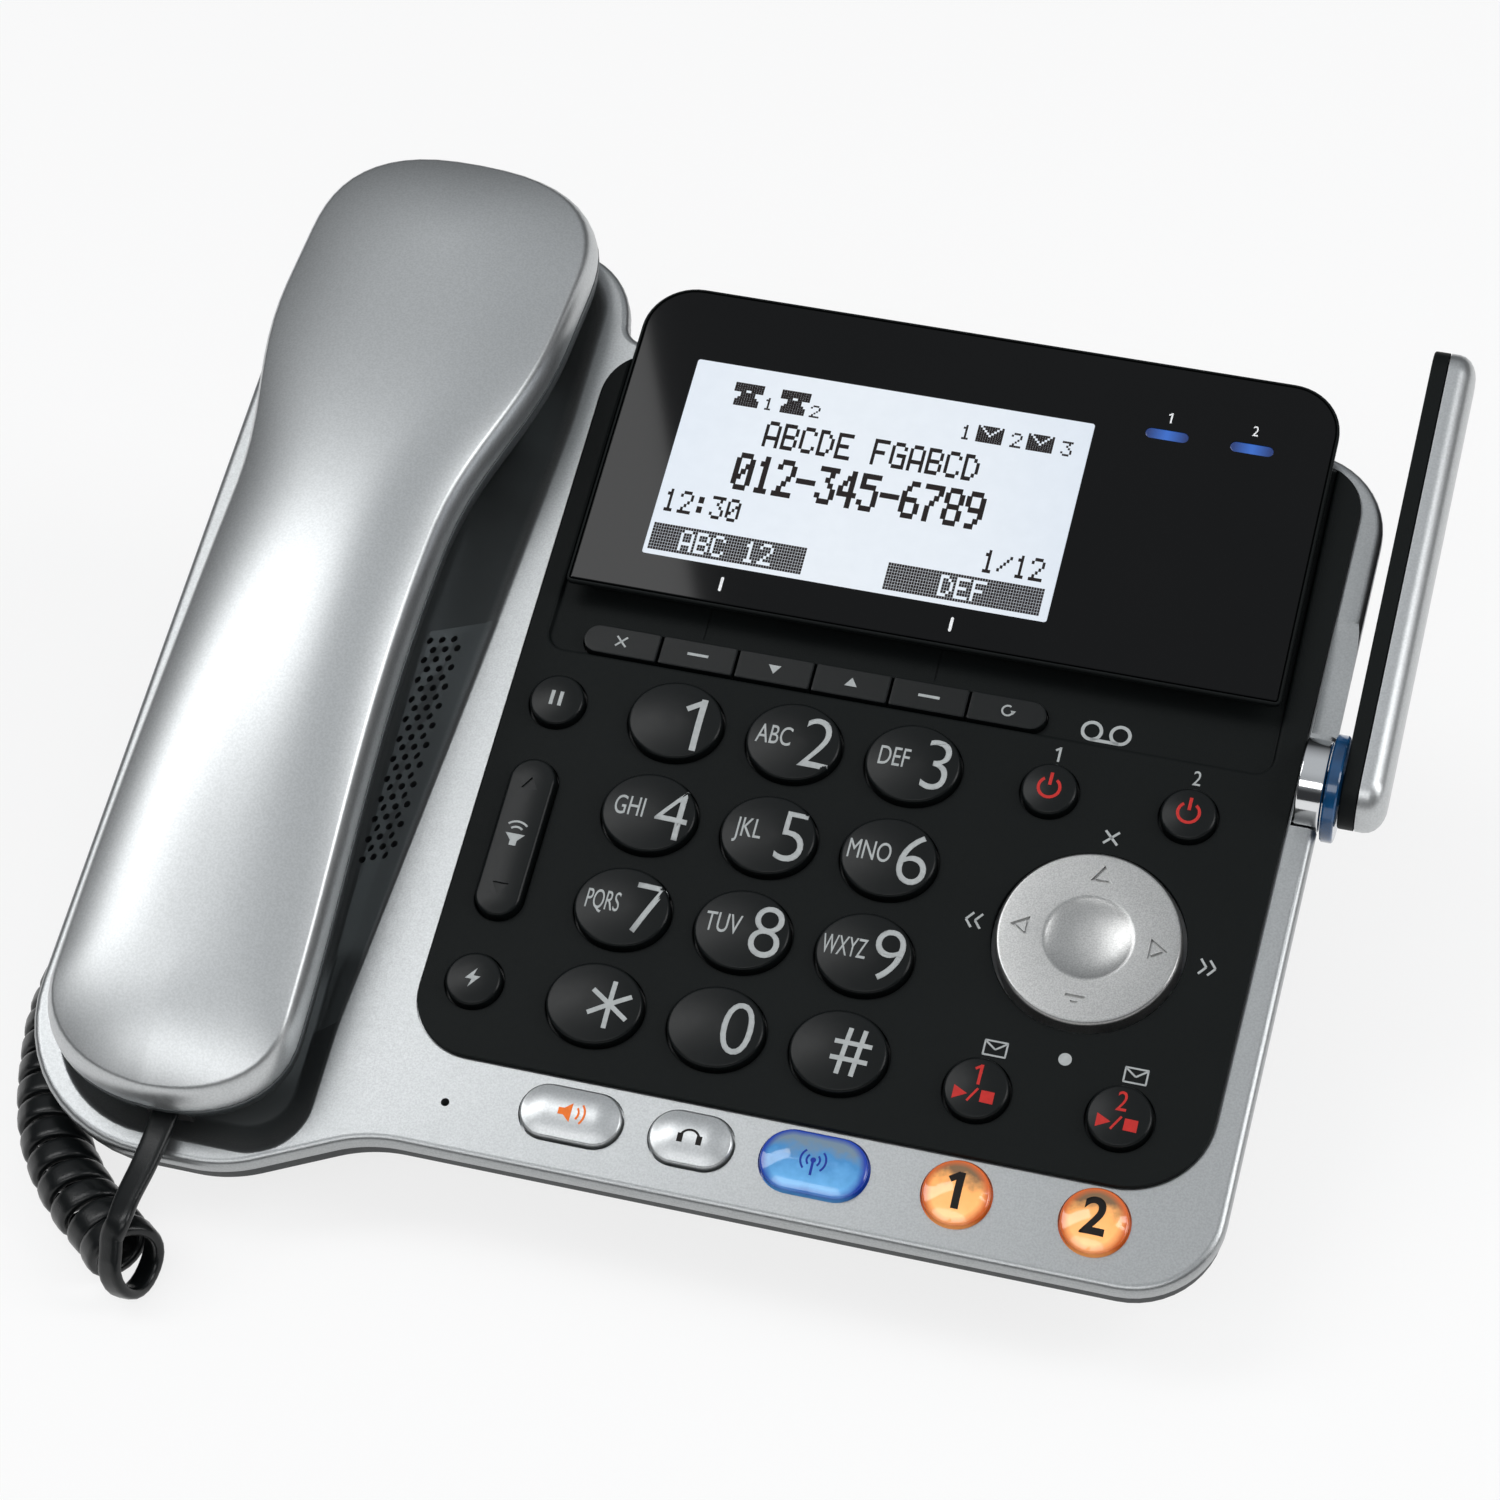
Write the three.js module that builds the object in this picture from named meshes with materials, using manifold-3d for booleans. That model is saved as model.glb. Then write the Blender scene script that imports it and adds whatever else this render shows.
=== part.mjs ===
// Two-line desk telephone: a thin sloping base with keypad, tilting display and folding aerial,
// and a corded handset lying in its bay. Millimetres, +Z up, front towards -Y.
// Most pieces are drawn in the plate frame, whose XY plane is the silver top face and whose origin
// is the middle of the number keys. One group then tips that frame back onto its stand.
import * as THREE from 'three';
import { mergeVertices } from 'three/addons/utils/BufferGeometryUtils.js';
import Module from 'manifold-3d';

const wasm = await Module();
wasm.setup();

// Driving dimensions: stance
const plateTilt = 22.75;
const plateLift = 50;
const footHeight = 1.7;
const footRadius = 6;
const seatGap = 0.3;
const overrun = 1;

// Driving dimensions: base outline, as corner places and corner radii in the plate frame
const baseLeft = -136.5;
const baseRearLeft = -133.8;
const baseRight = 104.2;
const baseRearRight = 106.2;
const baseFront = -66.8;
const baseRear = 118.5;
const bayFront = -79.2;
const bayRear = 138.3;
const bayRight = -59;
const lobeRight = -88;
const lobeRoot = -62;
const lobeCornerRadius = 31;
const lobeBlendRadius = 30;
const frontCornerRadius = 18;
const rearCornerRadius = 18;
const bayStepRadius = 4;
const bayCornerRadius = 18;
const bayRearRadius = 38;

// Driving dimensions: top shell
const shellSkirt = 3.8;
const shellWall = 2.2;
const shellPlate = 2.4;

// Driving dimensions: bottom shell
const trayGroove = 0.6;
const trayBand = 4.5;
const trayTurn = 1.4;
const trayTurnInset = 3.5;
const trayWall = 2.2;
const bellyDepth = 24;
const bellyLeft = -112;
const bellyRight = 84;
const bellyFront = -58;
const bellyLobeFront = -66;
const bellyLobeRight = -90;
const bellyLobeRoot = -66;
const bellyRear = 100;
const bellyBayRear = 122;
const bellyBayRight = -60;
const bellyRadius = 12;
const bellyStepRadius = 6;

// Driving dimensions: fascia, its recess for the display and its key openings
const fasciaLeft = -60.3;
const fasciaRight = 98.2;
const fasciaRearRight = 101;
const fasciaFront = -46.8;
const fasciaRear = 115.5;
const fasciaFrontLeftRadius = 13;
const fasciaFrontRightRadius = 17;
const fasciaRearRadius = 11;
const fasciaProud = 1.2;
const fasciaPlate = 1.5;
const fasciaLedge = 4;
const recessLeft = -56;
const recessRight = 94.6;
const recessFront = 43.4;
const recessDepth = 1.4;
const recessFloor = 1.8;
const keyClearance = 0.35;

// Driving dimensions: keys
const keyTravel = 1;
const keyFlange = 0.8;
const keyFlangeThickness = 1.2;
const keyFillet = 0.7;
const columnPitch = 24.63;
const rowPitch = 21;
const digitHalfWidth = 9.65;
const digitHalfHeight = 8.55;
const digitRise = 2;
const digitCrown = 0.7;
const smallKeyRadius = 5.6;
const smallKeyRise = 1.8;
const smallKeyCrown = 0.5;
const leftKeyX = -49.6;
const holdY = 31.4;
const flashY = -31.3;
const powerKeyY = 31.5;
const mailboxKeyY = -33.4;
const mailboxKeyRadius = 6.4;
const rightKeyX = 52.4;
const rightKeyPitch = 28;
const rockerLength = 35;
const rockerWidth = 9.4;
const rockerRise = 2.2;
const rockerDepth = 3.4;
const rockerClearance = 0.6;
const softKeyRow = 47.3;
const softKeyHeight = 6.4;
const softKeyPitch = 16.1;
const softKeyCount = 6;
const softKeySplit = 0.4;
const softKeyRise = 1.7;
const frontKeyY = -54.4;
const frontKeyRise = 1.5;
const frontKeyCrown = 1;
const speakerKeyX = -23.5;
const headsetKeyX = 0.7;
const mobileKeyX = 25.2;
const lineKeyX = 53.2;
const lineKeyPitch = 26.8;
const speakerKeyWidth = 20.4;
const speakerKeyHeight = 11;
const headsetKeyWidth = 16.6;
const mobileKeyWidth = 21.2;
const mobileKeyHeight = 12.4;
const lineKeyRadius = 6.6;

// Driving dimensions: navigation disc
const discX = 66.9;
const discY = 1.3;
const discRadius = 18.3;
const discRise = 2.4;
const discDepth = 2.6;
const discDishRadius = 8.2;
const discDishDepth = 1.1;
const discClearance = 0.8;
const discPivotRadius = 3;

// Driving dimensions: display panel
const displayLeft = -54.3;
const displayRight = 93.6;
const displayFront = 56.8;
const displayRear = 129.8;
const displayTop = 6;
const displayRim = 2;
const displayLip = 0.5;
const displayLens = 1.2;
const displayCornerRadius = 11;
const displayFrontRadius = 1.2;
const displayBoxInset = 6;
const displayBoxBottom = 0.9;
const screenX = 1.7;
const screenY = 89.4;
const screenWidth = 92;
const screenHeight = 53;
const screenThickness = 1.8;
const hingeY = 61.4;
const hingeZ = 2.3;
const hingeRadius = 2.2;
const hingeLeft = -46;
const hingeRight = 68;
const hingePinRadius = 0.9;
const hingePinLength = 4;
const hingeLug = 3;

// Driving dimensions: aerial and its hinge
const aerialY = 43.8;
const aerialLength = 101.5;
const aerialEndRadius = 7.6;
const aerialTipRadius = 7;
const hubRadius = 9.2;
const hubLeft = 100.4;
const hubRight = 105.6;
const hubBoreDepth = 4;
const ringRadius = 10.8;
const ringWidth = 2.7;
const aerialInnerWidth = 3.2;
const aerialOuterWidth = 5.6;
const aerialPinRadius = 3.2;
const aerialPinClearance = 0.25;
const knuckleY = 32.2;
const knuckleZ = 0.8;
const knuckleRadius = 4;
const knuckleFoot = 10;
const rimDipY = 56;
const rimDipDepth = 2.8;
const rimDipReach = 26;

// Driving dimensions: handset bay
const bayDepth = 8.6;
const bayWall = 2;
const bayEdgeRight = -66;
const bayEdgeWaist = -68.6;
const bayEdgeMouth = -74.6;
const bayEdgeLeft = -129;
const bayEdgeRearLeft = -125.5;
const bayEdgeFront = -74.4;
const bayEdgeRear = 133.5;
const bayWaistY = 48;
const bayEarY = 96;
const bayMouthY = -46;
const bayFloorRight = -83;
const bayFloorWaist = -84.5;
const bayFloorMouth = -81;
const bayFloorLeft = -122;
const bayFloorRearLeft = -115;
const bayFloorFront = -67;
const bayFloorRear = 123;
const bayMouthLeftRadius = 24;
const bayMouthRadius = 12;
const bayEarLeftRadius = 24;
const bayFloorRadius = 9;
const baySideRadius = 60;
const restPadWidth = 18;
const restPadLength = 8;
const earPadY = 100;
const mouthPadY = -46;
const grillePitchX = 2.9;
const grillePitchY = 2.3;
const grilleHoleRadius = 0.75;
const grilleFirstX = -82.2;
const grilleFirstY = -6.5;

// Driving dimensions: handset
const handsetX = -99.7;
const handsetY = 37;
const handsetYaw = -2.1;
const handsetLength = 219;
const seamMouth = 8.5;
const seamEar = 9;
const seamArch = 11.5;
const mouthHalfWidth = 25.8;
const waistHalfWidth = 22.8;
const earHalfWidth = 31;
const mouthEndLength = 20;
const earEndLength = 26;
const ridgeHeight = 7.7;
const ridgeInset = 2.3;
const crownHeight = 4.2;
const faceDepth = 8;
const faceInset = 6;
const earCupCentre = 66;
const earCupLength = 44;
const earCupHalfWidth = 22;
const earCupRadius = 18;
const earCupBottom = -4.5;
const mouthCupCentre = -78.5;
const mouthCupLength = 42;
const mouthCupHalfWidth = 20;
const mouthCupRadius = 12;
const mouthCupBottom = -7;
const cupTaper = 2;
const cupSink = 3;

// Driving dimensions: hook plunger, loudspeaker, boards and jacks
const hookX = -98.4;
const hookY = 117;
const hookRadius = 3.4;
const hookTravel = 2.5;
const hookFlange = 1.4;
const speakerX = -89.5;
const speakerY = 18;
const speakerRadius = 21;
const speakerMagnetRadius = 13;
const speakerRim = 3;
const speakerDepth = 9.6;
const boardThickness = 1.6;
const boardLeft = -54;
const boardRight = 90;
const boardFront = -44;
const boardRear = 92;
const matThickness = 1.2;
const matMargin = 2;
const matFront = -59.6;
const matFrontLeft = -37;
const jackBlockX = 36;
const jackBlockWidth = 52;
const jackBlockFront = 90;
const jackBlockRear = 109;
const jackBlockTop = -10.5;
const jackBlockHeight = 11.5;
const jackWidth = 10.6;
const jackHeight = 7.4;
const jackDepth = 9;
const jackPitch = 17;
const powerInletRadius = 3.2;

// Driving dimensions: desk stand, in the table frame
const standLeft = -30;
const standRight = 66;
const standFrontTop = 22;
const standFrontBottom = 36;
const standRear = 99;
const standWall = 2.6;
const standBays = 3;
const standPostRadius = 7;
const standFootInset = 9;
const frontFootLeftX = -100;
const frontFootLeftY = -47;
const frontFootRightX = 70;
const frontFootRightY = -31;

// Driving dimensions: curly cord, in the table frame
const cordWidth = 4.7;
const cordThickness = 2.4;
const coilRadius = 5.9;
const coilPitch = 6.3;
const coilPlaces = [
  [-99.65, -90.55, 8.8],
  [-102.3, -89.5, 7.8],
  [-107.1, -85.1, 7.4],
  [-114.6, -79.2, 7.4],
  [-121.9, -71.8, 7.4],
  [-127.8, -63.6, 7.4],
  [-131.8, -55.5, 7.4],
  [-135.6, -45, 7.4],
  [-139.3, -31, 7.4],
  [-140.2, -15, 7.4],
  [-138.5, 2, 7.4],
  [-133.5, 22, 7.4],
  [-125, 42, 7.4],
  [-113, 60, 7.4],
  [-99, 77, 7.4],
  [-83, 91, 7.4],
  [-65, 102, 7.4],
  [-45, 110, 7.4],
  [-25, 114, 7.4],
];
const plugWidth = 10;
const plugHeight = 6.4;
const plugLength = 13;
const plugSocketDepth = 9;
const plugZ = 3.2;
const plugX = 2.4;
const leadPlaces = [
  [-101.8, -78, 21.9],
  [-102.4, -86, 20.2],
  [-102.4, -90.8, 18.9],
];
const basePlugX = -62;
const basePlugY = 84;

// Shares of the sizes above
const crownShares = [0, 0.5, 0.82, 0.96, 1];
const crownInsetShares = [0, 0.22, 0.46, 0.7, 0.88];
const backRiseShares = [0, 0.5, 0.82];
const backInsetShares = [0, 0.12, 0.45];
const faceDropShares = [0, 0.5, 0.85, 1];
const faceInsetShares = [0, 0.08, 0.36, 1];
const aerialWidthShares = [0, 0.42, 0.78, 1];
const aerialInsetShares = [0, 0.08, 0.34, 0.76];
const keyCrownInsetShare = 0.4;
const waistStationShare = 0.55;
const earStationShare = 0.84;
const roundEndShare = 0.99;
const handsetTipShare = 0.02;
const coilStartShare = 0.09;
const looseCurlRise = 1;
const looseCurlTurns = 1.5;
const mouthEndPower = 2.2;
const earEndPower = 2.7;
const seamArchPower = 1.5;
const cornerSteps = 5;
const keySegments = 18;
const smallSegments = 12;
const roundSegments = 28;
const handsetStations = 22;
const leadSection = 8;
const leadSteps = 22;
const coilSteps = 8;
const coilTurns = 42.625;
const digitColumns = 3;
const digitRows = 4;
const grilleColumns = 3;
const grilleRows = 23;

// Colours and finishes
const finish = (color, roughness, metalness) => new THREE.MeshStandardMaterial(
  { color, roughness, metalness },
);
const silver = finish(0xb9bec1, 0.38, 0.75);
const charcoal = finish(0x1b1f20, 0.62, 0);
const keyBlack = finish(0x141617, 0.45, 0);
const darkGrey = finish(0x2d3437, 0.6, 0);
const gloss = finish(0x060708, 0.08, 0);
const chrome = finish(0xd8dadc, 0.1, 1);
const blue = finish(0x1b6fc4, 0.15, 0);
const orange = finish(0xf0923a, 0.2, 0);
const rubber = finish(0x17191a, 0.85, 0);
const boardGreen = finish(0x1f5a34, 0.5, 0);
const silicone = finish(0xc9cccd, 0.7, 0);
const screenWhite = finish(0xdfe8f0, 0.3, 0);
const steel = finish(0x8f9498, 0.35, 0.9);

// Closed meshes, joins and cuts
function outward(geometry) {
  const p = geometry.getAttribute('position');
  const index = geometry.getIndex();
  const at = (i) => new THREE.Vector3().fromBufferAttribute(p, index.getX(i));
  let volume = 0;
  for (let i = 0; i < index.count; i += 3) {
    volume += at(i).dot(at(i + 1).cross(at(i + 2)));
  }
  if (volume < 0) {
    index.array.reverse();
  }
  return geometry;
}

function welded(geometry) {
  const bare = geometry.clone();
  bare.deleteAttribute('normal');
  bare.deleteAttribute('uv');
  return outward(mergeVertices(bare, 1e-5));
}

function solid(shape) {
  if (!shape.isBufferGeometry) {
    return shape;
  }
  const closed = welded(shape);
  const vertProperties = new Float32Array(closed.getAttribute('position').array);
  const triVerts = new Uint32Array(closed.getIndex().array);
  return new wasm.Manifold(new wasm.Mesh({ numProp: 3, vertProperties, triVerts }));
}

function join(first, ...others) {
  return others.reduce((whole, other) => whole.add(solid(other)), solid(first));
}

function cut(first, ...others) {
  return others.reduce((whole, other) => whole.subtract(solid(other)), solid(first));
}

function common(first, second) {
  return solid(first).intersect(solid(second));
}

function geometryOf(shape) {
  if (shape.isBufferGeometry) {
    return welded(shape);
  }
  const mesh = shape.getMesh();
  const geometry = new THREE.BufferGeometry();
  geometry.setAttribute('position', new THREE.BufferAttribute(new Float32Array(mesh.vertProperties), 3));
  geometry.setIndex(new THREE.BufferAttribute(new Uint32Array(mesh.triVerts), 1));
  return geometry;
}

function piece(name, shape, material) {
  const mesh = new THREE.Mesh(geometryOf(shape), material);
  mesh.name = name;
  return mesh;
}

// Outlines
function roundedPolygon(corners, steps = cornerSteps) {
  const points = [];
  corners.forEach(([x, y, radius], i) => {
    const here = new THREE.Vector2(x, y);
    const [px, py] = corners.at(i - 1);
    const [nx, ny] = corners[(i + 1) % corners.length];
    const back = new THREE.Vector2(px, py).sub(here).normalize();
    const ahead = new THREE.Vector2(nx, ny).sub(here).normalize();
    const half = Math.acos(THREE.MathUtils.clamp(back.dot(ahead), -1, 1)) / 2;
    const toCentre = back.clone().add(ahead).normalize().multiplyScalar(radius / Math.sin(half));
    const centre = here.clone().add(toCentre);
    const reach = radius / Math.tan(half);
    const start = here.clone().addScaledVector(back, reach).sub(centre);
    const sweep = (Math.PI - 2 * half) * Math.sign(ahead.cross(back));
    for (let k = 0; k <= steps; k += 1) {
      points.push(start.clone().rotateAround(new THREE.Vector2(), (sweep * k) / steps).add(centre));
    }
  });
  return points;
}

function insetCorners(corners, distance) {
  return corners.map(([x, y, radius], i) => {
    const here = new THREE.Vector2(x, y);
    const [px, py] = corners.at(i - 1);
    const [nx, ny] = corners[(i + 1) % corners.length];
    const incoming = here.clone().sub(new THREE.Vector2(px, py)).normalize();
    const outgoing = new THREE.Vector2(nx, ny).sub(here).normalize();
    const turn = incoming.cross(outgoing);
    const shift = incoming.clone().multiplyScalar(-1).add(outgoing).multiplyScalar(distance / turn);
    return [x + shift.x, y + shift.y, Math.max(radius - distance * Math.sign(turn), seatGap)];
  });
}

function rectangle(left, right, front, rear, radii) {
  const [frontLeft, frontRight, rearRight, rearLeft] = radii;
  return [
    [left, front, frontLeft],
    [right, front, frontRight],
    [right, rear, rearRight],
    [left, rear, rearLeft],
  ];
}

function ellipse(halfWidth, halfHeight, segments) {
  const points = [];
  for (let i = 0; i < segments; i += 1) {
    const angle = (2 * Math.PI * i) / segments;
    points.push(new THREE.Vector2(halfWidth * Math.cos(angle), halfHeight * Math.sin(angle)));
  }
  return points;
}

function prism(outline, low, high) {
  const options = { depth: high - low, bevelEnabled: false, steps: 1, curveSegments: cornerSteps };
  return new THREE.ExtrudeGeometry(new THREE.Shape(outline), options).translate(0, 0, low);
}

function disc(radius, low, high, segments = roundSegments) {
  return prism(ellipse(radius, radius, segments), low, high);
}

// A bar along X with a given outline in the YZ plane
const lyingAlongX = new THREE.Matrix4().makeBasis(
  new THREE.Vector3(0, 1, 0),
  new THREE.Vector3(0, 0, 1),
  new THREE.Vector3(1, 0, 0),
);

function barAlongX(outline, left, right) {
  return prism(outline, left, right).applyMatrix4(lyingAlongX);
}

// A closed skin through rings of points that all have the same count. Its ends are flat caps, or
// ladders between the two sides of a symmetrical ring whose ends rise and fall with its length.
function flatCap(ring) {
  return THREE.ShapeUtils.triangulateShape(ring.map((p) => new THREE.Vector2(p.x, p.y)), []);
}

function ladderCap(ring) {
  const faces = [];
  const last = ring.length - 1;
  for (let i = 0; i < (ring.length >> 1) - 1; i += 1) {
    faces.push([i, i + 1, last - i - 1], [i, last - i - 1, last - i]);
  }
  return faces;
}

function loft(rings, cap = flatCap) {
  const count = rings[0].length;
  const positions = rings.flat().flatMap((p) => [p.x, p.y, p.z]);
  const indices = [];
  for (let r = 0; r < rings.length - 1; r += 1) {
    for (let i = 0; i < count; i += 1) {
      const a = r * count + i;
      const b = r * count + ((i + 1) % count);
      indices.push(a, b, a + count, b, b + count, a + count);
    }
  }
  cap(rings[0]).forEach(([a, b, c]) => indices.push(c, b, a));
  const top = (rings.length - 1) * count;
  cap(rings.at(-1)).forEach(([a, b, c]) => indices.push(top + a, top + b, top + c));
  const geometry = new THREE.BufferGeometry();
  geometry.setAttribute('position', new THREE.Float32BufferAttribute(positions, 3));
  geometry.setIndex(indices);
  return outward(geometry);
}

function ringAt(outline, height) {
  return outline.map((p) => new THREE.Vector3(p.x, p.y, height));
}

function lathe(profile, segments = roundSegments) {
  const points = profile.map(([radius, height]) => new THREE.Vector2(radius, height));
  return new THREE.LatheGeometry(points, segments).rotateX(Math.PI / 2);
}

// Plate frame and table frame
const tilt = THREE.MathUtils.degToRad(plateTilt);
const plateToTable = new THREE.Matrix4().makeRotationX(tilt).setPosition(0, 0, plateLift);
const tableToPlate = plateToTable.clone().invert();
const standBottom = footHeight + seatGap;
const onTable = (x, y, z) => new THREE.Vector3(x, y, z).applyMatrix4(plateToTable);

const baseCorners = [
  [baseLeft, bayFront, lobeCornerRadius],
  [lobeRight, bayFront, lobeBlendRadius],
  [lobeRoot, baseFront, lobeBlendRadius],
  [baseRight, baseFront, frontCornerRadius],
  [baseRearRight, baseRear, rearCornerRadius],
  [bayRight, baseRear, bayStepRadius],
  [bayRight, bayRear, bayCornerRadius],
  [baseRearLeft, bayRear, bayRearRadius],
];
const bellyCorners = [
  [bellyLeft, bellyLobeFront, bellyRadius],
  [bellyLobeRight, bellyLobeFront, bellyRadius],
  [bellyLobeRoot, bellyFront, bellyRadius],
  [bellyRight, bellyFront, bellyRadius],
  [bellyRight, bellyRear, bellyRadius],
  [bellyBayRight, bellyRear, bellyStepRadius],
  [bellyBayRight, bellyBayRear, bellyRadius],
  [bellyLeft, bellyBayRear, bellyRadius],
];
const fasciaCorners = [
  [fasciaLeft, fasciaFront, fasciaFrontLeftRadius],
  [fasciaRight, fasciaFront, fasciaFrontRightRadius],
  [fasciaRearRight, fasciaRear, fasciaRearRadius],
  [fasciaLeft, fasciaRear, fasciaRearRadius],
];
const fasciaBottom = fasciaProud - fasciaPlate;
const recessTop = fasciaProud - recessDepth;

// Keys: a list of every push key with its place, outline and height
const stadium = (width, height) => (grow) => {
  const halfWidth = width / 2 + grow;
  const halfHeight = height / 2 + grow;
  const radius = Math.min(halfWidth, halfHeight) * roundEndShare;
  const box = rectangle(-halfWidth, halfWidth, -halfHeight, halfHeight, [radius, radius, radius, radius]);
  return roundedPolygon(box, smallSegments / 4);
};
const oval = (halfWidth, halfHeight, segments) => (grow) => ellipse(
  halfWidth + grow, halfHeight + grow, segments,
);
const round = (radius) => oval(radius, radius, smallSegments);

function fasciaKey(name, x, y, outline, width, rise, crown) {
  const seat = { deck: fasciaProud, under: fasciaBottom, width };
  return { name, x, y, outline, rise, crown, material: keyBlack, ...seat };
}

function frontKey(name, x, width, height, material) {
  const outline = stadium(width, height);
  const seat = { deck: 0, under: -shellPlate, width: height / 2 };
  return { name, x, y: frontKeyY, outline, rise: frontKeyRise, crown: frontKeyCrown, material, ...seat };
}

const digitNames = ['1', '2', '3', '4', '5', '6', '7', '8', '9', 'star', '0', 'hash'];
const digitOutline = oval(digitHalfWidth, digitHalfHeight, keySegments);
const digitKeys = digitNames.map((label, i) => {
  const x = ((i % digitColumns) - (digitColumns - 1) / 2) * columnPitch;
  const y = ((digitRows - 1) / 2 - Math.floor(i / digitColumns)) * rowPitch;
  return fasciaKey(`key_${label}`, x, y, digitOutline, digitHalfHeight, digitRise, digitCrown);
});
const roundKey = (name, x, y, radius) => fasciaKey(
  name, x, y, round(radius), radius, smallKeyRise, smallKeyCrown,
);
const sideKeys = [
  roundKey('key_hold', leftKeyX, holdY, smallKeyRadius),
  roundKey('key_flash', leftKeyX, flashY, smallKeyRadius),
];
for (let line = 0; line < 2; line += 1) {
  const x = rightKeyX + line * rightKeyPitch;
  sideKeys.push(roundKey(`key_power_${line + 1}`, x, powerKeyY, smallKeyRadius));
  sideKeys.push(roundKey(`key_mailbox_${line + 1}`, x, mailboxKeyY, mailboxKeyRadius));
}
const lineKeySize = 2 * lineKeyRadius;
const frontKeys = [
  frontKey('key_speaker', speakerKeyX, speakerKeyWidth, speakerKeyHeight, silver),
  frontKey('key_headset', headsetKeyX, headsetKeyWidth, speakerKeyHeight, silver),
  frontKey('key_mobile', mobileKeyX, mobileKeyWidth, mobileKeyHeight, blue),
  frontKey('key_line_1', lineKeyX, lineKeySize, lineKeySize, orange),
  frontKey('key_line_2', lineKeyX + lineKeyPitch, lineKeySize, lineKeySize, orange),
];

// A push key: retaining flange, straight cap, rounded edge and crowned face
function pushKey(key) {
  const { outline, rise, crown, deck, under } = key;
  const flangeTop = under - seatGap;
  const face = deck + rise;
  const rings = [
    ringAt(outline(keyFlange), flangeTop - keyFlangeThickness),
    ringAt(outline(keyFlange), flangeTop),
    ringAt(outline(0), flangeTop),
    ringAt(outline(0), face - keyFillet),
    ringAt(outline(-keyFillet), face),
    ringAt(outline(-key.width * keyCrownInsetShare), face + crown),
  ];
  const mesh = piece(key.name, loft(rings), key.material);
  mesh.position.set(key.x, key.y, 0);
  return mesh;
}

function keyHole(key, clearance) {
  const hole = prism(key.outline(clearance), -shellPlate - overrun, fasciaProud + overrun);
  return hole.translate(key.x, key.y, 0);
}

// Soft keys: one row of six, rounded at the two ends of the row
const softRowHalf = (softKeyPitch * softKeyCount) / 2;

function softKey(i) {
  const left = -softRowHalf + i * softKeyPitch + (i > 0 ? softKeySplit / 2 : 0);
  const right = -softRowHalf + (i + 1) * softKeyPitch - (i < softKeyCount - 1 ? softKeySplit / 2 : 0);
  const half = softKeyHeight / 2;
  const outline = (grow, growY) => {
    const end = (half + growY) * roundEndShare;
    const leftRadius = i === 0 ? end : softKeySplit;
    const rightRadius = i === softKeyCount - 1 ? end : softKeySplit;
    const radii = [leftRadius, rightRadius, rightRadius, leftRadius];
    const box = rectangle(left - grow, right + grow, -half - growY, half + growY, radii);
    return roundedPolygon(box, smallSegments / 4);
  };
  const under = recessTop - recessFloor;
  const flangeTop = under - seatGap;
  const flangeBottom = flangeTop - keyFlangeThickness;
  const rings = [
    ringAt(outline(0, keyFlange), flangeBottom),
    ringAt(outline(0, keyFlange), flangeTop),
    ringAt(outline(0, 0), flangeTop),
    ringAt(outline(0, 0), recessTop + softKeyRise - softKeySplit),
    ringAt(outline(-softKeySplit, -softKeySplit), recessTop + softKeyRise),
  ];
  const mesh = piece(`soft_key_${i + 1}`, loft(rings), keyBlack);
  mesh.position.set(0, softKeyRow, 0);
  return mesh;
}

function softRowHole() {
  const halfWidth = softRowHalf + keyClearance;
  const halfHeight = softKeyHeight / 2 + keyClearance;
  const end = halfHeight * roundEndShare;
  const box = rectangle(-halfWidth, halfWidth, -halfHeight, halfHeight, [end, end, end, end]);
  const outline = roundedPolygon(box, smallSegments / 4);
  return prism(outline, recessTop - recessFloor - overrun, fasciaProud + overrun).translate(
    0, softKeyRow, 0,
  );
}

// Volume rocker: a long pill that tips about its middle
const rockerOutline = stadium(rockerWidth, rockerLength);

function volumeRocker() {
  const face = fasciaProud + rockerRise;
  const rings = [
    ringAt(rockerOutline(0), -rockerDepth),
    ringAt(rockerOutline(0), face - keyFillet),
    ringAt(rockerOutline(-keyFillet), face),
    ringAt(rockerOutline(-rockerWidth / 4), face + smallKeyCrown / 2),
  ];
  const mesh = piece('volume_rocker', loft(rings), keyBlack);
  mesh.position.set(leftKeyX, 0, 0);
  return mesh;
}

// Navigation disc with its dished middle, and the pivot that it tips on
function navigationDisc() {
  const face = fasciaProud + discRise;
  const profile = [
    [0, -discDepth],
    [discRadius, -discDepth],
    [discRadius, face - keyFillet],
    [discRadius - keyFillet, face],
    [discDishRadius, face - discDishDepth / 4],
    [discDishRadius / 2, face - discDishDepth],
    [0, face - discDishDepth],
  ];
  const mesh = piece('navigation_disc', lathe(profile), silver);
  mesh.position.set(discX, discY, 0);
  return mesh;
}

const lowestKeyFlange = -shellPlate - seatGap - keyFlangeThickness;
const matTop = lowestKeyFlange - keyTravel - seatGap;
const matBottom = matTop - matThickness;
const boardTop = matBottom - seatGap;

function navigationPivot() {
  const top = -discDepth - seatGap;
  const profile = [
    [0, matTop + seatGap],
    [discPivotRadius, matTop + seatGap],
    [discPivotRadius, top - discPivotRadius / 3],
    [discPivotRadius / 2, top],
    [0, top],
  ];
  const mesh = piece('navigation_pivot', lathe(profile, smallSegments), steel);
  mesh.position.set(discX, discY, 0);
  return mesh;
}

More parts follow.
